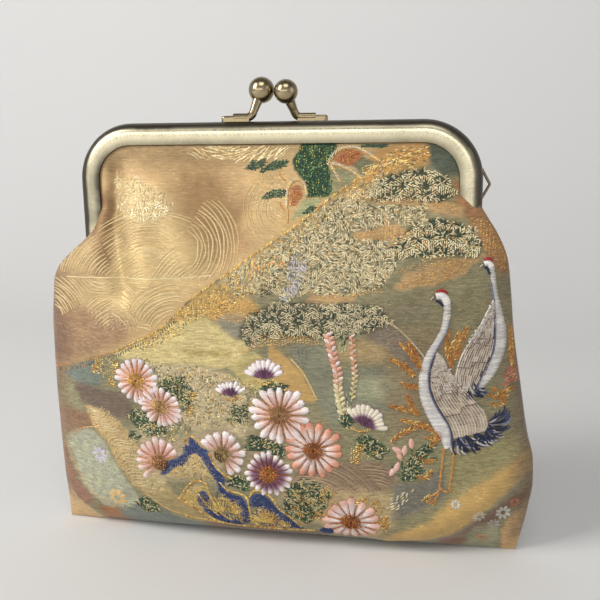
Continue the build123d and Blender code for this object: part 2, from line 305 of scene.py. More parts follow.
def cloth_grid(face, step, inset=0.0):
    """Points and flat coordinates of one panel. Inset moves the cloth in towards the pouch's inside."""
    rows = cloth_rows(step)
    half_columns = int(POUCH_HALF / step)
    s = across_share(np.linspace(0, 1, half_columns + 1))[None, :]
    turn = np.linspace(0, 1, RETURN_COLUMNS + 1)[None, 1:]
    v = rows[:, None]
    z = row_height(v)
    points, flat = [], []
    for side, edge in ((-1, LEFT_EDGE), (1, RIGHT_EDGE)):
        tuck = smooth(z, *ARM_START) * inset * 4
        half = edge(z) - inset - np.minimum(tuck, np.maximum(edge(z) - GROOVE_EDGE - inset, 0))
        # The lip is the depth at the cloth's edge. An inner layer stays behind the groove.
        lip = np.minimum(EDGE_DEPTH(z), GROOVE_CLOTH) if inset else EDGE_DEPTH(z)
        lip = np.maximum(lip - inset, LEAST_LIP)
        middle = np.maximum(row_depth(v) - inset, lip)
        middle = np.minimum(middle, row_depth(v))
        lip = np.minimum(lip, middle)
        depth = lip + (middle - lip) * (1 - s**ROW_SQUARENESS) ** FULLNESS(z)
        # Past the lip the cloth turns back in a quarter ellipse, to the seam or round the arm.
        wrap = smooth(z, *WRAP_START) * smooth(half, FRAME_HALF + 0.2, FRAME_HALF + 1.6)
        reach_y = mix(np.minimum(lip, RETURN_REACH), lip - 0.6, wrap)
        reach_x = mix(RETURN_REACH, np.maximum(half - FRAME_HALF - RETURN_REACH, RETURN_REACH), wrap)
        angle = turn * math.pi / 2
        back_x = half - reach_x * (1 - np.cos(angle))
        back_depth = lip - reach_y * np.sin(angle)
        arc = np.hypot(reach_x, reach_y) * turn * ARC_TO_CHORD
        x = np.concatenate([half * s, back_x], 1)
        side_depth = np.concatenate([depth, back_depth], 1) * smooth(v, BASE_END, BASE_END + 0.6)
        side_flat = np.concatenate([half * s, half + arc], 1)
        lift = inset * (1 - smooth(z, 2, 8))  # an inner layer is off the floor too
        order = slice(None) if side > 0 else slice(None, 0, -1)  # the middle column is laid once
        stack = np.stack([side * x, face * side_depth, np.broadcast_to(z + lift, x.shape)], -1)
        chart = np.stack([side * side_flat, np.broadcast_to(v, x.shape)], -1)
        points.append(stack[:, order])
        flat.append(chart[:, order])
    return np.concatenate(points, 1), np.concatenate(flat, 1)


# ---------------------------------------------------------------- the face of a panel
BAR = 5.4  # width of the frame's bar
FRAME_FOOT = 86  # below this height the arms lie outside the cloth
SHOW_MARGIN = 0.35  # raised threads stop this far from a seam or the frame
FINE_STEP = 0.44  # between the points of the front panel
BACK_STEP = 0.6
LAYER_STEP = 1.2


def fold_height(folds, across, up):
    """How far the folds stand out from the smooth cloth."""
    height = 0.16 * noise(across, up, 9.0, 21) + 0.07 * noise(across, up, 3.7, 22)
    for line, stands, width in folds:
        height = height + stands * np.exp(-((distance_to_line(line, across, up) / width) ** 2))
    return height


def folded_grid(face, folds, step, inset=0.0):
    """The points and flat coordinates of a panel or of a layer behind it, with its folds."""
    points, flat = cloth_grid(face, step, inset)
    x, v = flat[..., 0], flat[..., 1]
    z = row_height(v)
    edge_room = edge_at(x, z) - np.abs(x)
    # The folds die out at the seams, beside the arms, under the crown and at the bottom.
    arm_room = mix(np.full_like(x, 9.0), GROOVE_EDGE - 1 - np.abs(x), smooth(z, 82, 88))
    free = smooth(edge_room, 0.3, 5) * smooth(arm_room, 0, 4) * (1 - smooth(z, 97, 103))
    free *= smooth(v, BASE_END, 3)
    points[..., 1] += face * fold_height(folds, -face * x, v) * free
    points[..., 1] = face * np.maximum(face * points[..., 1], 0)
    return points, flat


class Panel:
    """The show face of one panel. A design lies on it in (across, up), as its viewer sees it."""

    def __init__(self, face, folds, step):
        self.face = face
        self.half_columns = int(POUCH_HALF / step)
        self.points, self.flat = folded_grid(face, folds, step)
        self.viewed = self.flat * (-face, 1)
        normal = np.cross(np.gradient(self.points, axis=1), np.gradient(self.points, axis=0)) * -face
        self.normals = normal / np.linalg.norm(normal, axis=2, keepdims=True)

    def shows(self, place):
        """Whether places on the design are inside the seams and the frame."""
        x, v = -self.face * place[..., 0], place[..., 1]
        z = row_height(v)
        within = np.abs(x) < edge_at(x, z) - SHOW_MARGIN
        corner_x, corner_z = FRAME_HALF - CORNER, FRAME_TOP - CORNER
        beyond = np.hypot(np.maximum(np.abs(x) - corner_x, 0), np.maximum(z - corner_z, 0))
        framed = beyond < CORNER - BAR - SHOW_MARGIN
        return within & (framed | (z < FRAME_FOOT)) & (v > BASE_END + 1)

    def lay(self, place, lift):
        """Points this far off the cloth at these places on the design."""
        x, v = -self.face * place[..., 0], place[..., 1]
        z = row_height(v)
        rows, columns = self.flat.shape[:2]
        row = np.interp(v, self.flat[:, 0, 1], np.arange(rows))
        u = np.linspace(0, 1, self.half_columns + 1)
        share = np.abs(x) / edge_at(x, z)
        column = np.interp(share, across_share(u), np.arange(self.half_columns + 1))
        column = RETURN_COLUMNS + self.half_columns + np.where(x < 0, -column, column)
        i = np.clip(row.astype(int), 0, rows - 2)
        j = np.clip(column.astype(int), 0, columns - 2)
        a, b = (row - i)[..., None], (column - j)[..., None]

        def blend(field):
            low = mix(field[i, j], field[i, j + 1], b)
            return mix(low, mix(field[i + 1, j], field[i + 1, j + 1], b), a)

        return blend(self.points) + blend(self.normals) * np.asarray(lift)[..., None]


# ---------------------------------------------------------------- raised threads
AS_DRAWN = (1, 0, 0)  # how a design lies on its panel: 1 or -1 across, then its shift
LEAST_FILL = 0.3  # the shortest weft thread that is laid


def runs_of(flags):
    """Where each run of true flags starts and ends."""
    return np.flatnonzero(np.diff(np.concatenate([[0], flags.astype(int), [0]]))).reshape(-1, 2)


def turned(place, turn):
    """Places of the design as they lie on a panel."""
    return place * (turn[0], 1) + turn[1:]


class Threads:
    """Raised threads of one motif, each a crowned ribbon along a line on the design."""

    def __init__(self, panel, turn):
        self.panel = panel
        self.turn = turn
        self.ribbons = []

    def ribbon(self, line, width, colour, height=0.12, across=3, sink=0.04):
        """Width and colour are one value, or one for each point of the line."""
        line = turned(np.asarray(line, float), self.turn)
        shown = self.panel.shows(line)
        if not shown.all():
            runs = runs_of(shown)
            if len(runs) == 0:
                return
            start, end = runs[np.argmax(runs[:, 1] - runs[:, 0])]
            if end - start < 3:
                return
            width = np.broadcast_to(width, len(line))[start:end]
            colour = np.broadcast_to(colour, (len(line), 3))[start:end]
            line = line[start:end]
        along = np.gradient(line, axis=0)
        along /= np.maximum(np.linalg.norm(along, axis=1, keepdims=True), 1e-9)
        side = np.stack([-along[:, 1], along[:, 0]], 1)
        half = np.broadcast_to(np.asarray(width, float) / 2, len(line))
        t = np.linspace(-1, 1, across)
        place = line[:, None] + side[:, None] * (half[:, None] * t)[..., None]
        fullness = np.sqrt(half / max(half.max(), 1e-9))
        lift = fullness[:, None] * (height + sink) * np.sqrt(1 - t * t) - sink
        colours = np.broadcast_to(np.broadcast_to(colour, (len(line), 3))[:, None], (*place.shape[:2], 3))
        self.ribbons.append((place, lift, colours))

    def fill(self, outline, colour, pitch=0.34, height=0.1, ragged=0.15, seed=0):
        """Covers a closed outline with level weft threads."""
        outline = np.asarray(outline, float)
        rng = np.random.default_rng(seed)
        low, high = outline[:, 1].min(), outline[:, 1].max()
        for v in np.arange(low + pitch / 2, high, pitch):
            a, b = outline, np.roll(outline, -1, axis=0)
            cut = (a[:, 1] > v) != (b[:, 1] > v)
            a, b = a[cut], b[cut]
            x = np.sort(a[:, 0] + (v - a[:, 1]) * (b[:, 0] - a[:, 0]) / (b[:, 1] - a[:, 1]))
            for start, end in zip(x[::2], x[1::2]):
                start, end = start - rng.uniform(0, ragged), end + rng.uniform(0, ragged)
                if end - start < LEAST_FILL:
                    continue
                count = max(int((end - start) / 0.9) + 2, 3)
                line = np.stack([np.linspace(start, end, count), np.full(count, v)], 1)
                width = np.full(count, pitch * 1.15)
                width[[0, -1]] *= 0.55
                self.ribbon(line, width, colour * rng.uniform(0.93, 1.05), height)

    def make(self, name, material):
        """One mesh of all the ribbons. Each has a cell of its own on the bake's map."""
        cells = math.ceil(math.sqrt(len(self.ribbons)))
        places, lifts, colours, charts, faces = [], [], [], [], []
        start = 0
        for index, (place, lift, colour) in enumerate(self.ribbons):
            rows, columns = place.shape[:2]
            down, over = np.meshgrid(np.linspace(0, 1, rows), np.linspace(0, 1, columns), indexing="ij")
            cell = np.array((index % cells, index // cells))
            chart = (cell + 0.08 + 0.84 * np.stack([over, down], -1)) / cells
            faces.append(grid_faces(rows, columns, flip=True) + start)
            start += rows * columns
            for store, value in ((places, place), (lifts, lift[..., None]), (colours, colour),
                                 (charts, chart)):
                store.append(value.reshape(rows * columns, -1))
        place = np.vstack(places)
        points = self.panel.lay(place, np.vstack(lifts)[:, 0])
        piece = make_mesh(name, points, np.vstack(faces), material)
        paint(piece, "colour", linear(np.vstack(colours)))
        mark(piece, "flat", np.column_stack([place, np.zeros(len(place))]))
        set_bake_map(piece, np.vstack(charts))
        return piece


# ---------------------------------------------------------------- materials
class Value:
    """A value in a material. A sum on it makes a further node."""

    def __init__(self, nodes, socket):
        self.nodes = nodes
        self.socket = socket

    def __add__(self, other):
        return self.nodes.math("ADD", self, other)

    def __radd__(self, other):
        return self.nodes.math("ADD", other, self)

    def __sub__(self, other):
        return self.nodes.math("SUBTRACT", self, other)

    def __rsub__(self, other):
        return self.nodes.math("SUBTRACT", other, self)

    def __mul__(self, other):
        return self.nodes.math("MULTIPLY", self, other)

    def __truediv__(self, other):
        return self.nodes.math("DIVIDE", self, other)

    def __pow__(self, other):
        return self.nodes.math("POWER", self, other)

    def __abs__(self):
        return self.nodes.math("ABSOLUTE", self)


class Nodes:
    """Short names for the nodes of one material."""

    def __init__(self, tree):
        self.tree = tree
        self.shader = tree.nodes["Principled BSDF"]

    def put(self, socket, value):
        """Links a value to a socket, or sets the socket to a number or a colour."""
        if isinstance(value, Value):
            self.tree.links.new(value.socket, socket)
        else:
            socket.default_value = value

    def new(self, kind, *values, **settings):
        """A node with these settings. The values go to its first inputs."""
        node = self.tree.nodes.new(f"ShaderNode{kind}")
        for name, setting in settings.items():
            setattr(node, name, setting)
        for socket, value in zip(node.inputs, values):
            self.put(socket, value)
        return node

    def out(self, node, output=0):
        return Value(self, node.outputs[output])

    def shade(self, **values):
        """Sets the shader's sockets: Base_Color=... is its Base Color."""
        for name, value in values.items():
            self.put(self.shader.inputs[name.replace("_", " ")], value)

    def math(self, operation, a, b=0.0, clamp=False):
        return self.out(self.new("Math", a, b, operation=operation, use_clamp=clamp))

    def ramp(self, value, start, end, low=0.0, high=1.0):
        """Low before start, high after end, and smooth between."""
        return self.out(self.new("MapRange", value, start, end, low, high, interpolation_type="SMOOTHSTEP"))

    def spread(self, noise, low, high):
        """From low to high over the values that a noise mostly has."""
        return self.ramp(noise, 0.3, 0.7, low, high)

    def colour_mix(self, share, a, b):
        node = self.new("Mix", share, data_type="RGBA")
        self.put(node.inputs[6], a)
        self.put(node.inputs[7], b)
        return self.out(node, 2)

    def times(self, colour, factor):
        """A colour made brighter or darker by a number."""
        node = self.new("VectorMath", colour, operation="SCALE")
        self.put(node.inputs["Scale"], factor)
        return self.out(node)

    def attribute(self, name, output):
        return self.out(self.new("Attribute", attribute_name=name), output)

    def split(self, vector):
        node = self.new("SeparateXYZ", vector)
        return [self.out(node, axis) for axis in range(3)]

    def join(self, x, y):
        return self.out(self.new("CombineXYZ", x, y))

    def noise(self, place, scale=1.0, detail=2.0, roughness=0.5):
        node = self.new("TexNoise", place)
        for name, value in (("Scale", scale), ("Detail", detail), ("Roughness", roughness)):
            self.put(node.inputs[name], value)
        return self.out(node, "Fac")

    def random(self, place):
        """A random value for each whole-number cell."""
        floor = self.out(self.new("VectorMath", place, operation="FLOOR"))
        return self.out(self.new("TexWhiteNoise", floor, noise_dimensions="3D"), "Value")

    def bump(self, height, distance, strength=1.0, normal=None):
        """Distance is in millimetres for a height of 1. It may lie on another bump."""
        node = self.new("Bump")
        if normal is not None:
            self.put(node.inputs["Normal"], normal)
        for name, value in (("Strength", strength), ("Distance", distance * MM), ("Height", height)):
            self.put(node.inputs[name], value)
        return self.out(node)

    def place_mm(self):
        """The place in the object's own frame, in millimetres."""
        return self.times(self.out(self.new("TexCoord"), "Object"), 1 / MM)


def new_material(name):
    """A material and the nodes to build it with."""
    material = bpy.data.materials.new(name)
    material.use_nodes = True
    return material, Nodes(material.node_tree)


def flat_colour(red, green, blue):
    """A colour as it is seen, as the linear light that a shader takes."""
    return tuple(linear(srgb(red, green, blue)))


WEFT = 0.36  # pitch of the level threads
FLOAT_LENGTH = 1.3  # how far a level thread runs on top


def weft_fields(nodes):
    """Height of the level threads, a random tone for each float, and the flat place."""
    across, up, _ = nodes.split(nodes.attribute("flat", "Vector"))
    wave = nodes.noise(nodes.join(across * 0.35, up * 0.35))
    row = up / WEFT + wave * 0.8
    shift = nodes.math("FLOOR", row) * 0.37
    run = across / FLOAT_LENGTH + shift
    tone = nodes.random(nodes.join(run, row))
    crown = nodes.math("SINE", nodes.math("FRACT", row) * math.pi)
    return crown, tone, across, up


def brocade_ground():
    """Satin and rib ground: silk with gilt threads where the painted metal share is high."""
    material, nodes = new_material("brocade_ground")
    crown, tone, across, up = weft_fields(nodes)
    metal = nodes.attribute("metal", "Fac")
    speckle = nodes.noise(nodes.join(across * 1.4, up * 3.2), 1.0, 3.0, 0.65)
    streaks = nodes.noise(nodes.join(across * 0.16, up * 2.2), 1.0, 2.0, 0.6)
    value = nodes.ramp(tone, 0, 1, 0.82, 1.1) + nodes.spread(speckle, -0.14, 0.12)
    value = value * nodes.spread(streaks, 0.93, 1.06)
    # painted shade between the weft rows: each row is darker towards its edges
    value = value * nodes.ramp(crown, 0, 0.9, 0.78, 1.05)
    calm = nodes.ramp(metal, 0.3, 0.42, 0.0, 0.6)
    value = value + calm * (0.96 - value)
    # painted glints: the brightest floats in the gilt are made brighter still
    glint = nodes.ramp(tone, 0.86, 0.97) * nodes.ramp(speckle, 0.5, 0.62)
    glint = glint * nodes.ramp(metal, 0.1, 0.5)
    value = value + glint * 0.34
    rough = nodes.spread(speckle, 0.62, 0.5) - metal * 0.16
    height = crown * 0.7 + tone * 0.5
    nodes.shade(Base_Color=nodes.times(nodes.attribute("colour", "Color"), value), Metallic=metal,
                Roughness=rough, Normal=nodes.bump(height, 0.045, 0.8))
    nodes.shade(Sheen_Weight=0.25, Sheen_Roughness=0.4, Specular_IOR_Level=0.35)
    return material


def silk_thread():
    """Raised silk weft, with a soft lustre along each float."""
    material, nodes = new_material("silk_thread")
    crown, tone, across, up = weft_fields(nodes)
    fibre = nodes.noise(nodes.join(across * 1.2, up * 9.0), 1.0, 3.0, 0.6)
    value = nodes.ramp(tone, 0, 1, 0.9, 1.05) * nodes.spread(fibre, 0.86, 1.08)
    # painted shade between the weft rows: each row is darker towards its edges
    value = value * nodes.ramp(crown, 0, 0.8, 0.74, 1.05)
    height = crown * 0.8 + fibre * 0.4
    nodes.shade(Base_Color=nodes.times(nodes.attribute("colour", "Color"), value),
                Roughness=nodes.spread(fibre, 0.52, 0.38), Normal=nodes.bump(height, 0.06, 0.8))
    nodes.shade(Sheen_Weight=0.2, Sheen_Roughness=0.35, Specular_IOR_Level=0.5)
    return material


def gilt_thread():
    """Flat gilt strip wound on silk, which glitters where it turns, with painted glints on the brightest
    turns.
    """
    material, nodes = new_material("gilt_thread")
    across, up, _ = nodes.split(nodes.attribute("flat", "Vector"))
    twist = nodes.random(nodes.join(across * 2.6, up * 2.6))
    grain = nodes.noise(nodes.join(across * 3.0, up * 3.0))
    # each turn has a random tone; the brightest turns also get a painted glint
    value = nodes.ramp(twist, 0, 1, 0.78, 1.16) + nodes.ramp(twist, 0.9, 1.0, 0, 0.35)
    height = twist + grain * 0.6
    nodes.shade(Base_Color=nodes.times(nodes.attribute("colour", "Color"), value), Metallic=0.6,
                Roughness=nodes.spread(grain, 0.42, 0.28), Normal=nodes.bump(height, 0.07, 0.7))
    return material


def satin_lining():
    """Coral satin with fine level threads."""
    material, nodes = new_material("lining_satin")
    x, _, z = nodes.split(nodes.place_mm())
    grain = nodes.noise(nodes.join(x * 0.5, z * 5.0), 1.0, 3.0)
    folds = nodes.noise(nodes.join(x * 0.12, z * 0.05), 1.0, 2.0)
    # painted fold light and shade: a slow noise brightens and darkens the satin
    value = nodes.spread(grain, 0.88, 1.08) * nodes.spread(folds, 0.85, 1.1)
    nodes.shade(Base_Color=nodes.times(flat_colour(196, 108, 98), value),
                Roughness=nodes.spread(grain, 0.42, 0.3), Normal=nodes.bump(grain, 0.05, 0.5))
    nodes.shade(Sheen_Weight=0.3, Specular_IOR_Level=0.55)
    return material


def felt():
    """Undyed felt of short fibres in loose clumps."""
    material, nodes = new_material("interfacing_felt")
    fibre = nodes.noise(nodes.place_mm(), 2.2, 4.0, 0.7)
    clump = nodes.noise(nodes.place_mm(), 0.35, 2.0)
    value = nodes.spread(fibre, 0.86, 1.08) * nodes.spread(clump, 0.92, 1.05)
    nodes.shade(Base_Color=nodes.times(flat_colour(222, 216, 202), value), Roughness=0.93,
                Normal=nodes.bump(fibre, 0.12, 0.8))
    return material


def paper_cord():
    """Kraft paper twisted into a cord: slanting ridges along it."""
    material, nodes = new_material("twisted_paper")
    x, y, z = nodes.split(nodes.place_mm())
    ridge = abs(nodes.math("SINE", (x + z + y) * 4.2))
    fleck = nodes.noise(nodes.place_mm(), 3.0, 3.0, 0.6)
    # painted shade: the grooves between the twists are darker
    value = nodes.ramp(ridge, 0, 0.8, 0.62, 1.05) * nodes.spread(fleck, 0.9, 1.08)
    nodes.shade(Base_Color=nodes.times(flat_colour(190, 158, 112), value), Roughness=0.85,
                Normal=nodes.bump(ridge, 0.15, 0.9))
    return material


def brass(name, colour, dark, roughness, brushing, edge_shade, crown=0.0):
    """Antique brass, brushed across the bar, with clouded stains and pits. Painted shade darkens it where
    its surface turns away from the front, and, where it has a crown, also in bands along the outer and
    inner edges of the bar and down its arms.
    Crown is how far the rolled face of the bar bows, in millimetres."""
    material, nodes = new_material(name)
    x, y, z = nodes.split(nodes.place_mm())
    out = abs(x)
    corner_x = FRAME_HALF - CORNER
    corner_z = FRAME_TOP - CORNER
    round_x = nodes.math("MAXIMUM", out - corner_x, 0.0)
    round_z = nodes.math("MAXIMUM", z - corner_z, 0.0)
    bend = nodes.math("ARCTAN2", round_z, round_x + 0.001) * (CORNER - BAR / 2)
    along = nodes.math("MINIMUM", out, corner_x) - nodes.math("MINIMUM", z, corner_z)
    along = (along + bend) * nodes.math("SIGN", x)
    across = round_x + round_z + y
    lines = nodes.noise(nodes.join(along * 5.0, across * 0.35), 1.0, 4.0, 0.75)
    cloud = nodes.noise(nodes.place_mm(), 0.09, 3.0, 0.55)
    pits = nodes.noise(nodes.place_mm(), 1.7, 3.0, 0.7)
    normal = nodes.out(nodes.new("NewGeometry"), "Normal")
    # painted shade: the colour darkens where the surface turns away from the front
    rolled = nodes.ramp(abs(nodes.split(normal)[1]), 0.35, 0.97, 1.0, 0.0)
    stain_and_shade = rolled * edge_shade + nodes.ramp(cloud, 0.45, 0.75, 0, 0.35)
    stain_and_shade = nodes.math("ADD", stain_and_shade, nodes.ramp(pits, 0.66, 0.85, 0, 0.08), clamp=True)
    inward = CORNER - nodes.math("SQRT", round_x**2.0 + round_z**2.0)
    # painted shade in bands along the bar's outer and inner edges, and down the arms
    if crown:
        arm = nodes.ramp(z, corner_z - 6, FRAME_TOP - 6, 0.3, 0.0) * nodes.ramp(cloud, 0.35, 0.6, 0.5, 1.2)
        for shade_band in (nodes.ramp(inward, 1.3, 2.5, 0.8, 0.0), nodes.ramp(inward, 3.2, BAR, 0.0, 0.55), arm):
            stain_and_shade = nodes.math("ADD", stain_and_shade, shade_band, clamp=True)
    colour = nodes.colour_mix(stain_and_shade, (*flat_colour(*colour), 1), (*flat_colour(*dark), 1))
    value = 1.0 + nodes.spread(lines, -1, 1) * (0.05 * brushing)
    rough = nodes.spread(lines, roughness, roughness + 0.14 * brushing) + stain_and_shade * 0.12
    height = lines * brushing + pits * 0.06
    bow = ((inward - BAR / 2) / (BAR / 2)) ** 2.0
    form = nodes.bump(1.0 - bow, max(crown, 0.001), 1.0)
    nodes.shade(Base_Color=nodes.times(colour, value), Metallic=1.0, Roughness=rough,
                Normal=nodes.bump(height, 0.012, 0.7, form))
    return material


# ---------------------------------------------------------------- ground colours
GOLD_TAN = srgb(200, 170, 122)
GOLD_LIGHT = srgb(210, 184, 132)
GOLD_PINK = srgb(188, 156, 112)
GOLD_BROWN = srgb(166, 134, 102)
PAINTED_HOLLOW_SHADE = srgb(152, 120, 82)
OLIVE = srgb(214, 196, 138)
OLIVE_GREY = srgb(200, 181, 143)
SAGE = srgb(142, 135, 103)
SAGE_DARK = srgb(132, 124, 97)
DARK_SAGE_AND_SHADE = srgb(88, 96, 80)
TEAL = srgb(176, 174, 150)
TEAL_GREY = srgb(122, 130, 120)
TAUPE = srgb(132, 118, 100)
FOLIAGE_DARK = srgb(84, 82, 60)
FOLIAGE_MID = srgb(160, 144, 108)
ORANGE_GOLD = srgb(198, 162, 114)
RUSSET_WITH_PAINTED_SHADE = srgb(162, 118, 78)
PINE = srgb(36, 68, 46)
BEIGE_GOLD = srgb(205, 184, 136)
TAN = srgb(206, 170, 120)

BORDER = [  # the lower edge of the gold satin
    (-61, 45), (-52, 47.6), (-45, 50.3), (-40.5, 51.7), (-36, 54), (-29, 57.5), (-24, 61.5), (-20, 65.5),
    (-15, 69.3), (-10, 72.6), (-5, 76.2), (0, 79.6), (5, 83), (10, 86.8), (15, 90.8), (20, 94.4),
    (25, 97.5), (31, 99.8), (38, 102.5),
]
FOLIAGE = {  # outlines of the clumps of pine
    "crest": [(24, 90), (25.5, 94), (30, 96.5), (36, 97.5), (42, 95.5), (44.5, 91.5), (41, 89.6),
              (32, 89.8)],
    "bank": [(12, 82.5), (13, 88.3), (20, 90), (30, 88.8), (37, 89), (37.8, 84), (30, 85), (22, 83)],
    "knoll": [(29, 76.6), (30, 80.6), (35.5, 85.3), (41, 86), (46, 84), (50.6, 80.4), (49.5, 76.6),
              (45, 77.6), (38, 77)],
    "hill": [(0, 69), (1, 79), (5, 82.7), (13, 84), (22, 81), (29, 81), (31, 75), (27, 70), (20, 68),
             (10, 68), (4, 67.5)],
    "slope": [(1, 79.6), (10, 86.4), (16, 90.6), (24, 94.5), (28, 96.6), (25.5, 93), (24, 90), (14, 88),
              (11, 82.8), (5, 82.4)],
    "fringe": [(45, 79.6), (45.6, 83.4), (47.6, 84.4), (49.4, 82.4), (49.6, 78.6), (47, 77.6)],
    "fern": [(19, 66), (27, 65.6), (30.4, 62), (26, 60), (20, 58.6), (15.6, 57.6), (15, 62)],
    "hedge": [(-7, 57.5), (-5, 63), (3, 66.4), (15, 66), (22, 66.4), (26, 63.2), (24, 59.5), (14, 57.5),
              (6, 58), (-1, 56.6), (-4, 54.6)],
}
